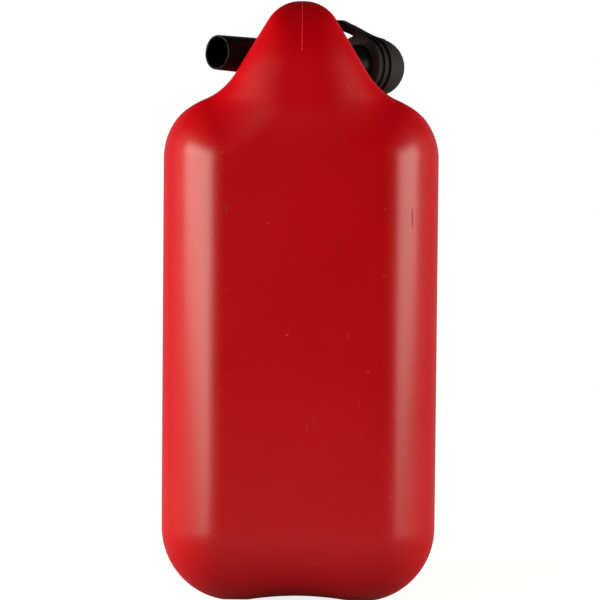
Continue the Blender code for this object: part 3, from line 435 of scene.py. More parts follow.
def wire(name, points, closed=False):
    """Wire through points, as a mesh."""
    edges = [(n, n + 1) for n in range(len(points) - 1)]
    if closed:
        edges.append((len(points) - 1, 0))
    mesh = bpy.data.meshes.new(name)
    mesh.from_pydata([tuple(point) for point in points], edges, [])
    return mesh


def turned(name, profile, steps, place, closed=False):
    """Turn a profile of (radius, height) points about Z and put it in its place."""
    obj = new_object(name, wire(name, [(radius, 0.0, height) for radius, height in profile], closed))
    screw = obj.modifiers.new("turn", "SCREW")
    screw.steps = screw.render_steps = steps
    screw.use_merge_vertices = True
    screw.merge_threshold = MERGE
    obj = settle(obj)
    bm = bmesh.new()
    bm.from_mesh(obj.data)
    bmesh.ops.remove_doubles(bm, verts=bm.verts, dist=MERGE / 2)
    bmesh.ops.recalc_face_normals(bm, faces=bm.faces)
    bm.to_mesh(obj.data)
    bm.free()
    obj.data.transform(place)
    shade(obj.data)
    return obj


def rounded_profile(corners, steps=4):
    """Profile with its corners rounded, from (radius, height, corner radius) points."""
    profile = []
    for n, (radius, height, fillet) in enumerate(corners):
        here = Vector((radius, height))
        if not fillet or n in (0, len(corners) - 1):
            profile.append((radius, height))
            continue
        before = Vector(corners[n - 1][:2]) - here
        after = Vector(corners[n + 1][:2]) - here
        reach = min(fillet, before.length * LARGEST_FILLET, after.length * LARGEST_FILLET)
        start, end = here + before.normalized() * reach, here + after.normalized() * reach
        for step in range(steps + 1):
            t = step / steps
            profile.append(tuple(start * (1 - t) ** 2 + here * 2 * t * (1 - t) + end * t**2))
    return profile


def neck_place(scene):
    """Matrix that takes the origin to the middle of the neck's foot."""
    neck, body = scene.fuel_can_neck, scene.fuel_can_body
    return Matrix.Translation((0.0, body.length / 2 - neck.setback, body.height - body.platform_drop))


def spout_axis(s):
    """Direction from the spout's free end to its nut."""
    level = math.cos(s.tilt)
    return Vector((math.cos(s.heading) * level, math.sin(s.heading) * level, -math.sin(s.tilt)))


def spout_place(s):
    """Matrix that takes +Z to the spout's axis at its free end."""
    return Matrix.Translation(Vector(s.tip)) @ spout_axis(s).to_track_quat("Z", "Y").to_matrix().to_4x4()


class NodeSketch:
    """Short way to write a material's or a modifier's nodes."""

    def __init__(self, tree):
        self.tree = tree

    def set(self, node, **inputs):
        """Link or set a node's inputs; a node given as a value links from its first output."""
        for key, value in inputs.items():
            name = int(key[1:]) if key[0] == "i" and key[1:].isdigit() else key.replace("_", " ")
            if isinstance(value, bpy.types.Node):
                value = value.outputs[0]
            if isinstance(value, bpy.types.NodeSocket):
                self.tree.links.new(value, node.inputs[name])
            else:
                node.inputs[name].default_value = value
        return node

    def add(self, kind, settings=None, **inputs):
        """Add a node, set its properties, and link or set its inputs."""
        node = self.tree.nodes.new(kind)
        for key, value in (settings or {}).items():
            setattr(node, key, value)
        return self.set(node, **inputs)

    def place(self):
        """Place on the object."""
        return self.add("ShaderNodeTexCoord").outputs["Object"]

    def math(self, operation, first, second=0.0):
        """One sum on two values."""
        return self.add("ShaderNodeMath", {"operation": operation}, i0=first, i1=second)

    def times(self, first, second):
        """Product of two values."""
        return self.math("MULTIPLY", first, second)

    def plus(self, first, second):
        """Sum of two values."""
        return self.math("ADD", first, second)

    def larger(self, first, second):
        """Larger of two values."""
        return self.math("MAXIMUM", first, second)

    def spread(self, value, low, high, to_low=0.0, to_high=1.0):
        """Map a value from one range to another, held at its ends."""
        return self.add(
            "ShaderNodeMapRange", Value=value, From_Min=low, From_Max=high, To_Min=to_low, To_Max=to_high
        ).outputs["Result"]

    def noise(self, place, scale, detail=2.0, stretch=None):
        """Noise at a place, stretched where a direction runs through it."""
        if stretch:
            place = self.add("ShaderNodeMapping", Vector=place, Scale=stretch)
        return self.add("ShaderNodeTexNoise", Vector=place, Scale=scale, Detail=detail)

    def mix(self, share, first, second):
        """Colour between two colours."""
        node = self.add("ShaderNodeMix", {"data_type": "RGBA"}, Factor=share, A=first, B=second)
        return node.outputs["Result"]

    def bump(self, height, strength, distance):
        """Normal of a surface with a fine relief."""
        return self.add("ShaderNodeBump", Height=height, Strength=strength, Distance=distance)


def new_material(name):
    """Material with a Principled shader, and a sketch of its nodes."""
    material = bpy.data.materials.new(name)
    material.use_nodes = True
    return material, NodeSketch(material.node_tree), material.node_tree.nodes["Principled BSDF"]


def rgba(colour, factor=1.0, lift=0.0):
    """Opaque colour, scaled and lifted."""
    return (*[part * factor + lift for part in colour], 1.0)


def scratch(sketch, separate, start, end, width):
    """1 on a thin straight scratch across the rear face, from start to end in x and z."""
    run = Vector((end[0] - start[0], end[1] - start[1]))
    length = run.length
    run.normalize()
    x = sketch.math("SUBTRACT", separate.outputs[0], start[0])
    z = sketch.math("SUBTRACT", separate.outputs[2], start[1])
    along = sketch.plus(sketch.times(x, run.x), sketch.times(z, run.y))
    across = sketch.math("SUBTRACT", sketch.times(x, run.y), sketch.times(z, run.x))
    near = sketch.spread(sketch.math("ABSOLUTE", across), width / 2, width, 1.0, 0.0)
    middle = sketch.math("ABSOLUTE", sketch.math("SUBTRACT", along, length / 2))
    ends = sketch.spread(middle, length / 2 - width, length / 2, 1.0, 0.0)
    rear = sketch.math("LESS_THAN", separate.outputs[1], REAR_PART)
    return sketch.times(sketch.times(near, ends), rear)


def can_plastic(colour):
    """Red blow-moulded polyethylene: fine grain, faint flow, scuffs and a few scratches."""
    material, sketch, shader = new_material("red_polyethylene")
    place = sketch.place()
    separate = sketch.add("ShaderNodeSeparateXYZ", Vector=place)
    height = separate.outputs[2]
    cloud = sketch.noise(place, 14.0, 3.0)
    flow = sketch.noise(place, 9.0, 4.0, (6.0, 6.0, 0.5))
    grain = sketch.noise(place, 1500.0)
    pebble = sketch.noise(place, 420.0, 3.0)
    hair = sketch.noise(place, 130.0, 6.0, (9.0, 9.0, 0.35))
    patch = sketch.noise(place, 26.0)
    rub = sketch.times(sketch.spread(hair, 0.66, 0.72), sketch.spread(patch, 0.60, 0.70))
    speck = sketch.spread(sketch.noise(place, 330.0, 0.0), 0.83, 0.86)
    nicks = sketch.larger(*[scratch(sketch, separate, *mark) for mark in DARK_NICKS])
    pale = sketch.larger(*[scratch(sketch, separate, *mark) for mark in PALE_MARKS])
    pale = sketch.larger(pale, sketch.times(speck, patch))
    tone = sketch.mix(sketch.spread(cloud, 0.3, 0.7), rgba(colour, 0.965), rgba(colour, 1.03))
    worn = sketch.mix(sketch.times(sketch.larger(rub, pale), 0.55), tone, RUBBED_RED)
    cut = sketch.mix(sketch.times(nicks, 0.6), worn, rgba(colour, 0.35))
    handled = sketch.larger(sketch.spread(height, *HANDLED_TOP), sketch.spread(height, *HANDLED_FOOT))
    rough = sketch.plus(
        sketch.spread(cloud, 0.3, 0.7, 0.275, 0.305), sketch.spread(grain, 0.3, 0.7, -0.02, 0.02)
    )
    for mark, rougher in ((sketch.larger(rub, speck), 0.15), (handled, 0.16), (nicks, 0.35)):
        rough = sketch.plus(rough, sketch.times(mark, rougher))
    relief = sketch.plus(sketch.times(grain, 0.25), sketch.times(pebble, 0.6))
    relief = sketch.plus(relief, sketch.times(flow, 3.0))
    relief = sketch.math("SUBTRACT", relief, sketch.times(sketch.larger(nicks, rub), 0.8))
    sketch.set(
        shader, Base_Color=cut, Roughness=rough, IOR=1.54, Normal=sketch.bump(relief, 0.35, 0.00008),
        Specular_IOR_Level=sketch.spread(handled, 0.0, 1.0, 0.45, 0.09),
    )
    return material


def moulded_plastic(name, colour, roughness, grain_scale, stretch=(1.0, 1.0, 1.0)):
    """Plainly moulded plastic with fine grain, dust and rubbed patches."""
    material, sketch, shader = new_material(name)
    place = sketch.place()
    grain = sketch.noise(place, grain_scale)
    cloud = sketch.noise(place, 45.0, 4.0)
    drawn = sketch.noise(place, 60.0, 5.0, stretch)
    dusty = sketch.spread(sketch.noise(place, 900.0, 1.0), 0.74, 0.80, 0.0, 0.35)
    tone = sketch.mix(sketch.spread(cloud, 0.35, 0.75), rgba(colour), rgba(colour, 1.8, 0.0008))
    rough = sketch.plus(
        sketch.spread(cloud, 0.3, 0.7, roughness - 0.04, roughness + 0.05),
        sketch.spread(drawn, 0.3, 0.7, -0.03, 0.03),
    )
    relief = sketch.plus(sketch.times(grain, 0.5), sketch.times(drawn, 1.2))
    sketch.set(
        shader, Base_Color=sketch.mix(dusty, tone, DUST), Roughness=rough, IOR=1.5,
        Specular_IOR_Level=0.20, Normal=sketch.bump(relief, 0.3, 0.00006),
    )
    return material


def seal_rubber(colour):
    """Grey rubber of the two seals."""
    material, sketch, shader = new_material("grey_rubber")
    place = sketch.place()
    grain = sketch.noise(place, 800.0, 3.0)
    sketch.set(
        shader, Base_Color=sketch.mix(grain, rgba(colour, 0.8), rgba(colour, 1.25)), Roughness=0.75,
        Normal=sketch.bump(grain, 0.3, 0.00005),
    )
    return material


def get_material(name):
    """The finish of one moulding, made the first time it is asked for."""
    found = bpy.data.materials.get(name)
    if found:
        return found
    colours = bpy.context.scene.fuel_can_colours
    if name == "red_polyethylene":
        return can_plastic(tuple(colours.can))
    if name == "grey_rubber":
        return seal_rubber(tuple(colours.seals))
    colour, *finish = PLASTICS[name]
    return moulded_plastic(name, tuple(getattr(colours, colour)), *finish)


def outer_skin(form, facet):
    """Even mesh of the can's outer skin, without its neck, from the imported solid."""
    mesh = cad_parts["can_body"].data.copy()
    bm = bmesh.new()
    bm.from_mesh(mesh)
    bmesh.ops.remove_doubles(bm, verts=bm.verts, dist=MERGE)
    away = np.abs(form.gap(np.array([vertex.co for vertex in bm.verts], dtype=float)))
    inner = [vertex for vertex, gap in zip(list(bm.verts), away) if gap > SKIN_DEPTH]
    bmesh.ops.delete(bm, geom=inner, context="VERTS")
    bmesh.ops.holes_fill(bm, edges=[edge for edge in bm.edges if edge.is_boundary], sides=0)
    bmesh.ops.triangulate(bm, faces=bm.faces)
    bm.to_mesh(mesh)
    bm.free()
    obj = new_object("can_skin", mesh)
    remesh = obj.modifiers.new("even", "REMESH")
    remesh.mode = "VOXEL"
    remesh.voxel_size = facet
    return settle(obj)


def unit(directions):
    """Directions with a length of 1."""
    return directions / np.maximum(np.linalg.norm(directions, axis=1), 1e-9)[:, None]


def relax_onto(form, mesh, rounds):
    """Spread a skin's points evenly and keep them on the can's form."""
    points = np.empty(len(mesh.vertices) * 3)
    mesh.vertices.foreach_get("co", points)
    points = form.onto(points.reshape(-1, 3), 6)
    edges = np.empty(len(mesh.edges) * 2, dtype=int)
    mesh.edges.foreach_get("vertices", edges)
    first, second = edges.reshape(-1, 2).T
    links = np.bincount(edges, minlength=len(points))[:, None]
    for _ in range(rounds):
        total = np.zeros_like(points)
        np.add.at(total, first, points[second])
        np.add.at(total, second, points[first])
        points = form.onto(points + EASE * (total / links - points), 2)
    points = form.onto(points, 2)
    mesh.vertices.foreach_set("co", points.ravel())
    mesh.update()
    mesh.shade_smooth()
    mesh.normals_split_custom_set_from_vertices([tuple(normal) for normal in unit(form.slope(points))])


class FUELCAN_OT_body(Operator):
    """Mould the can: one even skin over the tank, the hump and the hollow handle"""

    bl_idname = "fuelcan.body"
    bl_label = "Can Body"

    def execute(self, context):
        """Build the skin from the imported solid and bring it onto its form."""
        sizes = context.scene.fuel_can_body
        form = CanForm(sizes)
        obj = outer_skin(form, sizes.facet)
        relax_onto(form, obj.data, 10)
        finish_piece(obj, "can", "red_polyethylene", ["can_body"])
        return {"FINISHED"}


class FUELCAN_OT_neck(Operator):
    """Turn the can's neck, with its foot flowing into the platform and its thread"""

    bl_idname = "fuelcan.neck"
    bl_label = "Neck"

    def execute(self, context):
        """Turn the neck and sweep its thread."""
        neck, place = context.scene.fuel_can_neck, neck_place(context.scene)
        bore, wall, foot, top = neck.bore_radius, neck.radius, neck.flange_radius, neck.height
        corners = [
            (bore, -0.004, 0), (bore, top, 0.0006), (wall, top, 0.0007), (wall, 0.0021, 0.0004),
            (foot, 0.0019, 0.0009), (foot, 0.0, 0.0012), (foot + 0.0022, -0.0004, 0.0), (foot, -0.0012, 0.0),
        ]
        obj = turned("can_neck", rounded_profile(corners), ROUND_STEPS, place, closed=True)
        thread = bmesh.new()
        crest = neck.thread_depth
        rise = [(wall - 0.0004, -0.0011), (wall + crest * 0.8, -0.0006), (wall + crest, -0.0003)]
        fall = [(radius, -height) for radius, height in reversed(rise)]
        profile = [thread.verts.new((radius, 0.0, THREAD_START + height)) for radius, height in rise + fall]
        face = thread.faces.new(profile)
        steps, turns = 72, 1.5
        bmesh.ops.spin(
            thread, geom=[*profile, *face.edges, face], cent=(0, 0, 0), axis=(0, 0, 1),
            dvec=(0, 0, neck.thread_pitch * turns / steps), angle=math.tau * turns, steps=steps,
        )
        bmesh.ops.recalc_face_normals(thread, faces=thread.faces)
        bmesh.ops.transform(thread, matrix=place, verts=thread.verts)
        thread.from_mesh(obj.data)
        thread.to_mesh(obj.data)
        thread.free()
        shade(obj.data)
        finish_piece(obj, "can", "red_polyethylene")
        return {"FINISHED"}


def open_tree(name, values):
    """New node tree that takes a mesh, sizes and a material: its sketch, and where they come in."""
    tree = bpy.data.node_groups.new(name, "GeometryNodeTree")
    face = tree.interface
    face.new_socket("Geometry", in_out="INPUT", socket_type="NodeSocketGeometry")
    for label, value in values.items():
        kind = "NodeSocketInt" if isinstance(value, int) else "NodeSocketFloat"
        face.new_socket(label, in_out="INPUT", socket_type=kind).default_value = value
    face.new_socket("Material", in_out="INPUT", socket_type="NodeSocketMaterial")
    face.new_socket("Geometry", in_out="OUTPUT", socket_type="NodeSocketGeometry")
    sketch = NodeSketch(tree)
    return sketch, sketch.add("NodeGroupInput").outputs


def close_tree(sketch, shape, material):
    """End a node tree with its shape made whole and painted."""
    whole = sketch.add("GeometryNodeRealizeInstances", Geometry=shape)
    painted = sketch.add("GeometryNodeSetMaterial", Geometry=whole, Material=material)
    sketch.add("NodeGroupOutput", Geometry=painted)
    return sketch.tree


def sweep_tree():
    """Node tree that sweeps a thin rounded line along a wire."""
    sketch, start = open_tree("thin_line", {"Width": 0.0005, "Spacing": 0.002})
    curve = sketch.add("GeometryNodeMeshToCurve", Mesh=start["Geometry"])
    even = sketch.add("GeometryNodeResampleCurve", {"mode": "LENGTH"}, Curve=curve, Length=start["Spacing"])
    half = sketch.times(start["Width"], 0.5)
    ring = sketch.add("GeometryNodeCurvePrimitiveCircle", Resolution=6, Radius=half)
    line = sketch.add("GeometryNodeCurveToMesh", Curve=even, Profile_Curve=ring, Fill_Caps=True)
    return close_tree(sketch, line, start["Material"])


def ring_tree():
    """Node tree that sets copies of a rounded bar round a circle, each standing along Z."""
    sketch, start = open_tree(
        "grip_ribs", {"Count": 48, "Circle": 0.02, "Rib Radius": 0.0008, "Low": 0.0, "High": 0.02}
    )
    low = sketch.add("ShaderNodeCombineXYZ", Z=start["Low"])
    high = sketch.add("ShaderNodeCombineXYZ", Z=start["High"])
    bar = sketch.add("GeometryNodeCurvePrimitiveLine", Start=low, End=high)
    cut = sketch.add("GeometryNodeResampleCurve", Curve=bar, Count=9)
    along = sketch.add("GeometryNodeSplineParameter").outputs["Factor"]
    taper = sketch.add("ShaderNodeFloatCurve", Value=along)
    points = taper.mapping.curves[0].points
    points[0].location, points[1].location = (0.0, 0.25), (1.0, 0.25)
    for place in ((0.06, 0.85), (0.14, 1.0), (0.86, 1.0), (0.94, 0.85)):
        points.new(*place)
    taper.mapping.update()
    ring = sketch.add("GeometryNodeCurvePrimitiveCircle", Resolution=8, Radius=start["Rib Radius"])
    rib = sketch.add("GeometryNodeCurveToMesh", Curve=cut, Profile_Curve=ring, Scale=taper, Fill_Caps=True)
    circle = sketch.add("GeometryNodeMeshCircle", Vertices=start["Count"], Radius=start["Circle"])
    spots = sketch.add("GeometryNodeMeshToPoints", Mesh=circle)
    copies = sketch.add("GeometryNodeInstanceOnPoints", Points=spots, Instance=rib)
    return close_tree(sketch, copies, start["Material"])


def apply_tree(name, mesh, tree, material, **values):
    """Run a node tree on a mesh and return the plain mesh object that it makes."""
    values["Material"] = get_material(material)
    obj = new_object(name, mesh)
    modifier = obj.modifiers.new("nodes", "NODES")
    modifier.node_group = tree
    for item in tree.interface.items_tree:
        key = item.name.replace(" ", "_")
        if item.in_out == "INPUT" and key in values:
            modifier[item.identifier] = values[key]
    obj = settle(obj)
    obj.data.shade_smooth()
    return obj


def add_nub(mesh, centre, radius):
    """Add a small ball to a mesh, where the mould line ends."""
    bm = bmesh.new()
    bm.from_mesh(mesh)
    bmesh.ops.create_icosphere(bm, subdivisions=3, radius=radius, matrix=Matrix.Translation(centre))
    bm.to_mesh(mesh)
    bm.free()


class FUELCAN_OT_flash(Operator):
    """Draw the fine raised line that the two halves of the mould leave round the can"""

    bl_idname = "fuelcan.flash"
    bl_label = "Mould Line"

    def execute(self, context):
        """Follow the form in the middle plane and sweep a thin line along it."""
        sizes, neck = context.scene.fuel_can_body, context.scene.fuel_can_neck
        form = CanForm(sizes)
        top, half = sizes.height, sizes.flash_width / 2
        rear, front, platform = form.rear, form.front, form.platform
        foot, clear = front - neck.setback, neck.flange_radius + 0.0024
        low, high = form.crown - 0.004, form.crown + 0.0257
        runs = {
            "flash_hump": [
                (rear, top - 0.0295), (rear, top), (form.window_rear, top + 0.001),
                (form.post_front - 0.004, top + 0.001), (form.post_front + 0.003, platform + 0.012),
                (foot - clear, platform + 0.001),
            ],
            "flash_front": [
                (foot + clear, platform + 0.002), (front, platform), (front + 0.002, 0.15), (front, 0.0),
                (front - 0.06, -0.002),
            ],
            "flash_window": [
                (form.window_rear + 0.004, low), (form.window_rear - 0.001, high - 0.0105),
                (form.window_rear + 0.01, high), (form.window_front - 0.01, high),
                (form.window_front + 0.001, high - 0.0105), (form.window_front - 0.004, low),
            ],
        }
        tree = sweep_tree()
        for name, corners in runs.items():
            points = []
            for (y0, z0), (y1, z1) in zip(corners, corners[1:]):
                steps = max(2, int(math.hypot(y1 - y0, z1 - z0) / FLASH_SPACING))
                for n in range(steps):
                    points.append((0.0, y0 + (y1 - y0) * n / steps, z0 + (z1 - z0) * n / steps))
            points.append((0.0, *corners[-1]))
            points = form.onto(np.array(points), 12)
            points[:, 0] = 0.0
            apart = np.linalg.norm(np.diff(points, axis=0), axis=1) > FLASH_SPACING / 6
            points = points - unit(form.slope(points)) * sizes.flash_width * 0.1
            points = points[np.concatenate([[True], apart])]
            points = np.clip(points, (0.0, rear + half, half), (0.0, front - half, top - half))
            # The line takes the paler mould-line plastic, painted light on the raised line
            obj = apply_tree(
                name, wire(name, points), tree, "red_flash", Width=sizes.flash_width, Spacing=FLASH_SPACING
            )
            if name == "flash_hump":
                add_nub(obj.data, points[0] + (0.0, 0.0002, 0.0), sizes.flash_width)
                obj.data.shade_smooth()
            finish_piece(obj, "can", "red_flash")
        return {"FINISHED"}


class FUELCAN_OT_cap(Operator):
    """Turn the cap's outer shell, with a dished top and ribs for the fingers"""

    bl_idname = "fuelcan.cap"
    bl_label = "Cap"

    def execute(self, context):
        """Turn the shell and set the ribs round it."""
        neck, body = context.scene.fuel_can_neck, context.scene.fuel_can_body
        (_, _, low), (_, _, high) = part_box("cap_outer_shell")
        place = Matrix.Translation((0.0, body.length / 2 - neck.setback, 0.0))
        wall = neck.cap_radius - neck.rib_radius * 0.75
        dish, inside, skirt, lip = high - 0.0009, high - 0.0020, low + 0.0030, low + 0.0012
        corners = [
            (0.0, dish, 0), (wall * 0.62, dish, 0.0008), (wall * 0.66, high - 0.0002, 0.0006),
            (wall * 0.80, high, 0.0006), (wall, high, 0.0019), (wall, skirt + 0.0006, 0.0004),
            (neck.cap_radius, skirt, 0.0005), (neck.cap_radius, low, 0.0006),
            (neck.cap_lip_bore, low, 0.0003), (neck.cap_lip_bore, lip, 0.0003),
            (neck.cap_bore, lip, 0.0002), (neck.cap_bore, inside, 0.0004), (0.0, inside, 0),
        ]
        shell = turned("cap_shell", rounded_profile(corners), CAP_STEPS, place)
        ribs = apply_tree(
            "cap_ribs", bpy.data.meshes.new("cap_ribs"), ring_tree(), "black_plastic",
            Count=neck.rib_count, Circle=wall, Rib_Radius=neck.rib_radius, Low=skirt, High=high - 0.0019,
        )
        ribs.data.transform(place)
        finish_piece(shell, "cap_outer", "black_plastic", ["cap_outer_shell"])
        finish_piece(ribs, "cap_outer", "black_plastic")
        return {"FINISHED"}


class FUELCAN_OT_spout(Operator):
    """Turn the pouring tube, thin at its free end, with a burr left on its rim"""

    bl_idname = "fuelcan.spout"
    bl_label = "Spout Tube"

    def execute(self, context):
        """Turn the tube and roughen its rim."""
        s = context.scene.fuel_can_spout
        bore, root = s.tip_radius - s.wall, s.root_radius - s.wall
        taper, flange, end = s.length - 0.0105, s.length + 0.0021, s.length + 0.0039
        corners = [
            (s.flange_radius, end, 0.0002), (s.flange_radius, flange, 0.0002),
            (s.collar_radius, flange, 0.0002),
            (s.collar_radius, s.length - 0.003, 0.0014), (s.root_radius, taper, 0.004),
            (s.tip_radius, 0.003, 0.002), (s.tip_radius - 0.0001, 0.0, 0.00035), (bore, 0.0, 0.0003),
            (bore, 0.004, 0.002), (root, taper, 0.004), (root, end, 0.0002),
        ]
        profile = rounded_profile(corners, 5)
        obj = turned("spout_pipe", profile, ROUND_STEPS, Matrix.Identity(4), closed=True)
        for vertex in obj.data.vertices:
            if vertex.co.z < RIM:
                angle = math.atan2(vertex.co.y, vertex.co.x)
                burr = BURR * math.sin(3 * angle + 0.7) + 0.00007 * math.sin(11 * angle)
                vertex.co.z += max(0.0, burr + BURR) * (1 - vertex.co.z / RIM)
        obj.data.transform(spout_place(s))
        finish_piece(obj, "spout", "black_tube", ["spout_tube"])
        return {"FINISHED"}


class FUELCAN_OT_nut(Operator):
    """Turn the nut that screws on the neck, with ridges round it for grip"""

    bl_idname = "fuelcan.nut"
    bl_label = "Spout Nut"

    def execute(self, context):
        """Turn the nut with its ridges."""
        s = context.scene.fuel_can_spout
        start, end, top = s.length, s.length + s.nut_length, s.nut_radius
        bore, groove, web = s.collar_radius + GAP, top - 0.0017, start + 0.0018
        pitch = (s.nut_length - 0.0018) / 2
        corners = [(bore, start, 0), (groove - 0.0006, start, 0.0004)]
        for n in range(s.ridge_count):
            middle = start + 0.0009 + pitch * n
            corners += [
                (groove, middle - 0.00085 if n else start + 0.0001, 0.0003), (top, middle - 0.0004, 0.0004),
                (top, middle + 0.0005, 0.0004), (groove, middle + 0.0010, 0.0003),
            ]
        corners[-1] = (groove, end, 0.0003)
        corners += [(s.nut_bore, end, 0.0003), (s.nut_bore, web, 0.0002), (bore, web, 0.0002)]
        obj = turned("nut_shell", rounded_profile(corners), ROUND_STEPS, spout_place(s), closed=True)
        finish_piece(obj, "nut", "black_plastic", ["spout_nut"])
        return {"FINISHED"}


def smooth_route(points, per_span):
    """Points of a smooth curve through the route's own points."""
    points = [Vector(point) for point in points]
    padded = [2 * points[0] - points[1], *points, 2 * points[-1] - points[-2]]
    route = []
    for n in range(1, len(padded) - 2):
        a, b, c, d = padded[n - 1:n + 3]
        for step in range(per_span):
            t = step / per_span
            bend = (2 * a - 5 * b + 4 * c - d) * t**2 + (3 * b - a - 3 * c + d) * t**3
            route.append(0.5 * (2 * b + (c - a) * t + bend))
    route.append(points[-1])
    return route


def strap_mesh(s):
    """Band along the strap's route, flat on top, with a rib below that fades at both ends."""
    level = Vector((spout_axis(s).x, spout_axis(s).y, 0.0)).normalized()
    route = smooth_route(STRAP_ROUTE, 8)
    half_width, half_thick = s.strap_width / 2, s.strap_thickness / 2
    section = []
    for n in range(20):
        across, up = math.cos(math.tau * n / 20), math.sin(math.tau * n / 20)
        section.append((
            math.copysign(abs(across) ** 0.35, across) * half_width,
            math.copysign(abs(up) ** 0.5, up) * half_thick,
        ))
    bm = bmesh.new()
    rings = []
    for n, point in enumerate(route):
        below = 1 + s.strap_rib * math.sin(math.pi * n / (len(route) - 1)) ** 0.5 / half_thick
        ahead = (route[min(n + 1, len(route) - 1)] - route[max(n - 1, 0)]).normalized()
        side = (level - ahead * level.dot(ahead)).normalized()
        up = ahead.cross(side)
        rings.append([bm.verts.new(point + side * a + up * (b if b > 0 else b * below)) for a, b in section])
    for low, high in zip(rings, rings[1:]):
        for n in range(len(section)):
            m = (n + 1) % len(section)
            bm.faces.new([low[n], low[m], high[m], high[n]])
    bm.faces.new(rings[0])
    bm.faces.new(rings[-1])
    bmesh.ops.recalc_face_normals(bm, faces=bm.faces)
    mesh = bpy.data.meshes.new("strap")
    bm.to_mesh(mesh)
    bm.free()
    return mesh


class FUELCAN_OT_strap(Operator):
    """Mould the strap, with a ring round the neck at one end and the nut's plug at the other"""

    bl_idname = "fuelcan.strap"
    bl_label = "Strap and Plug"

    def execute(self, context):
        """Sweep the strap, turn the ring and the plug, and join them."""
        s = context.scene.fuel_can_spout
        bore = context.scene.fuel_can_neck.radius + GAP
        rim = bore + 0.0036
        corners = [
            (bore, 0.0023, 0), (rim, 0.0023, 0.0005), (rim, 0.0043, 0.0005), (bore, 0.0043, 0.0003),
            (bore, 0.0033, 0),
        ]
        ring = turned("ring", rounded_profile(corners), ROUND_STEPS, neck_place(context.scene), closed=True)
        start = s.length + s.nut_length + GAP
        dome = []
        for step in range(1, 8):
            angle, middle = math.radians(8 * step), start + 0.004
            dome.append((s.plug_radius * math.cos(angle), middle + s.plug_radius * math.sin(angle), 0.0006))
        tip_radius, tip = dome[-1][0] - 0.0016, dome[-1][1] + 0.0006
        spigot, inside = s.nut_bore - 0.0004, start - 0.003
        corners = [
            (0.0, inside, 0), (spigot - 0.0012, inside, 0.0003), (spigot, inside + 0.0005, 0.0003),
            (spigot, start, 0.0), (s.plug_radius - 0.0003, start, 0.0005),
            (s.plug_radius, start + 0.004, 0.0006), *dome, (tip_radius, tip, 0.0006), (0.0, tip, 0),
        ]
        plug = turned("plug", rounded_profile(corners), ROUND_STEPS, spout_place(s))
        strap = new_object("strap_moulding", strap_mesh(s))
        for other in (ring, plug):
            join = strap.modifiers.new("join", "BOOLEAN")
            join.operation = "UNION"
            join.solver = "EXACT"
            join.object = other
        strap = settle(strap)
        for other in (ring, plug):
            bpy.data.objects.remove(other)
        shade(strap.data)
        paint(strap, "black_flexible")
        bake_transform(strap)
        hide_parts("retaining_strap")
        return {"FINISHED"}


class FUELCAN_OT_hidden(Operator):
    """Give the cap's inner shell and the two seals their finish"""

    bl_idname = "fuelcan.hidden"
    bl_label = "Inner Shell and Seals"

    def execute(self, context):
        """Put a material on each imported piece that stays."""
        for node, material in (
            ("cap_inner_shell", "black_plastic"), ("cap_seal", "grey_rubber"),
            ("spout_gasket", "grey_rubber"),
        ):
            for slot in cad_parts[node].material_slots:
                slot.material = get_material(material)
        return {"FINISHED"}


def aimed(place, aim, roll):
    """Matrix of a camera or a light at a place, looking at a point."""
    look = (Vector(aim) - Vector(place)).to_track_quat("-Z", "Y").to_matrix().to_4x4()
    return Matrix.Translation(place) @ look @ Matrix.Rotation(roll, 4, "Z")


def add_light(name, place, aim, energy, size, lean=0.0, glossy=True):
    """Soft rectangular light that looks at a point, leaning to one side."""
    lamp = bpy.data.lights.new(name, "AREA")
    lamp.shape = "RECTANGLE"
    lamp.size, lamp.size_y = size
    lamp.energy = energy
    lamp.color = LAMP_COLOUR
    obj = new_object(name, lamp)
    obj.matrix_world = aimed(place, aim, lean)
    obj.visible_glossy = glossy
    obj.visible_camera = False


def build_world(scene, surround):
    """Room that the camera sees as white and that lights the can from behind."""
    world = scene.world = bpy.data.worlds.new("studio")
    world.use_nodes = True
    world.node_tree.nodes.clear()
    sketch = NodeSketch(world.node_tree)
    seen = sketch.add("ShaderNodeLightPath").outputs["Is Camera Ray"]
    view = sketch.add("ShaderNodeTexCoord").outputs["Generated"]
    around = sketch.add("ShaderNodeSeparateXYZ", Vector=view)
    room = sketch.spread(around.outputs[1], -0.1, 0.3, 0.0, surround)
    room = sketch.times(room, sketch.spread(around.outputs[2], 0.15, 0.6, 1.0, 0.12))
    back = sketch.add("ShaderNodeBackground", Strength=sketch.larger(seen, room), Color=WHITE)
    sketch.add("ShaderNodeOutputWorld", Surface=back)


def floor_mesh(radius):
    """Round flat floor under the can."""
    bm = bmesh.new()
    bmesh.ops.create_circle(bm, cap_ends=True, segments=ROUND_STEPS, radius=radius)
    mesh = bpy.data.meshes.new("floor")
    bm.to_mesh(mesh)
    bm.free()
    return mesh


def floor_material(colour):
    """Pale floor that the camera sees as white, with the can's shadow on it."""
    material, sketch, shader = new_material("pale_floor")
    seen = sketch.add("ShaderNodeLightPath").outputs["Is Camera Ray"]
    sketch.set(
        shader, Base_Color=rgba(colour), Roughness=0.8, Specular_IOR_Level=0.1, Emission_Color=WHITE,
        Emission_Strength=sketch.times(seen, FLOOR_GLOW),
    )
    return material


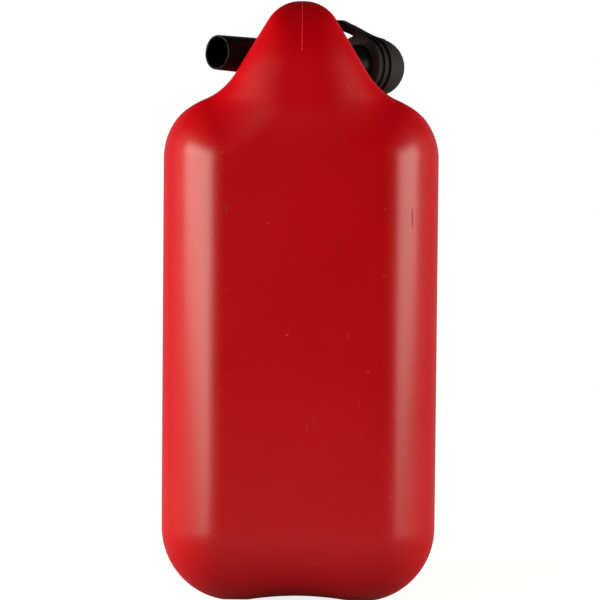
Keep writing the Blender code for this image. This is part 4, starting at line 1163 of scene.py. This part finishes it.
class FUELCAN_OT_stage(Operator):
    """Set the camera, the pale room, the lights and the floor"""

    bl_idname = "fuelcan.stage"
    bl_label = "Stage"

    def execute(self, context):
        """Build the stage round the can."""
        scene, stage = context.scene, context.scene.fuel_can_stage
        rear = -scene.fuel_can_body.length / 2
        scene.view_settings.view_transform = "Standard"
        lens = bpy.data.cameras.new("camera")
        lens.lens = stage.focal_length
        lens.sensor_width = 36.0
        scene.camera = new_object("camera", lens)
        eye = (0.0, rear - stage.camera_distance, stage.camera_height)
        scene.camera.matrix_world = aimed(eye, (0.0, rear, stage.aim_height), stage.roll)
        build_world(scene, stage.surround)

        for side, turn, width, power, lean in (
            ("left", -51.0, 1.50, stage.left_power, -14.0), ("right", 59.0, 1.05, stage.right_power, 14.0),
        ):
            turn = math.radians(turn)
            x, y = LAMP_DISTANCE * math.sin(turn), -LAMP_DISTANCE * math.cos(turn)
            for part, height, tall, share in (("high", 0.51, 0.36, 0.54), ("low", 0.17, 0.30, 0.43)):
                add_light(
                    f"{side}_box_{part}", (x, y, height), (0.0, 0.0, height - 0.03), power * share,
                    (width, tall), math.radians(lean),
                )
        for name, place, power, size in (
            ("left_side", (-LAMP_DISTANCE, -0.05, 0.45), stage.side_power, (1.1, 1.1)),
            ("right_side", (LAMP_DISTANCE, -0.13, 0.45), stage.side_power * 0.75, (1.1, 1.1)),
            ("back_fill", (0.5, 2.4, 1.0), stage.fill_power, (1.6, 1.2)),
            ("top_fill", (0.0, 0.0, 2.0), stage.fill_power * 0.25, (1.4, 1.4)),
        ):
            add_light(name, place, (0.0, 0.0, 0.24), power, size, glossy=False)

        floor = new_object("floor", floor_mesh(stage.floor_radius))
        floor.data.materials.append(floor_material(scene.fuel_can_colours.floor))
        return {"FINISHED"}


class FUELCAN_PT_panel(Panel):
    """Lists the steps that build the fuel can"""

    bl_idname = "FUELCAN_PT_panel"
    bl_label = "Fuel Can"
    bl_space_type = "VIEW_3D"
    bl_region_type = "UI"
    bl_category = "Fuel Can"

    def draw(self, context):
        """Draw one button for each step."""
        for operator in OPERATORS:
            self.layout.operator(operator.bl_idname, text=operator.bl_label)


GROUPS = (
    ("fuel_can_body", FuelCanBody), ("fuel_can_neck", FuelCanNeck), ("fuel_can_spout", FuelCanSpout),
    ("fuel_can_colours", FuelCanColours), ("fuel_can_stage", FuelCanStage),
)
OPERATORS = (
    FUELCAN_OT_body, FUELCAN_OT_neck, FUELCAN_OT_flash, FUELCAN_OT_cap, FUELCAN_OT_spout, FUELCAN_OT_nut,
    FUELCAN_OT_strap, FUELCAN_OT_hidden, FUELCAN_OT_stage,
)


def register():
    """Register the classes and put their values on the scene."""
    for name, group in GROUPS:
        bpy.utils.register_class(group)
        setattr(bpy.types.Scene, name, PointerProperty(type=group))
    for operator in OPERATORS:
        bpy.utils.register_class(operator)
    bpy.utils.register_class(FUELCAN_PT_panel)


def unregister():
    """Take the classes and their values away again."""
    bpy.utils.unregister_class(FUELCAN_PT_panel)
    for operator in reversed(OPERATORS):
        bpy.utils.unregister_class(operator)
    for name, group in reversed(GROUPS):
        delattr(bpy.types.Scene, name)
        bpy.utils.unregister_class(group)


def main():
    """Build the fuel can and its stage."""
    register()
    for operator in OPERATORS:
        group, step = operator.bl_idname.split(".")
        getattr(getattr(bpy.ops, group), step)()


if __name__ == "__main__":
    main()
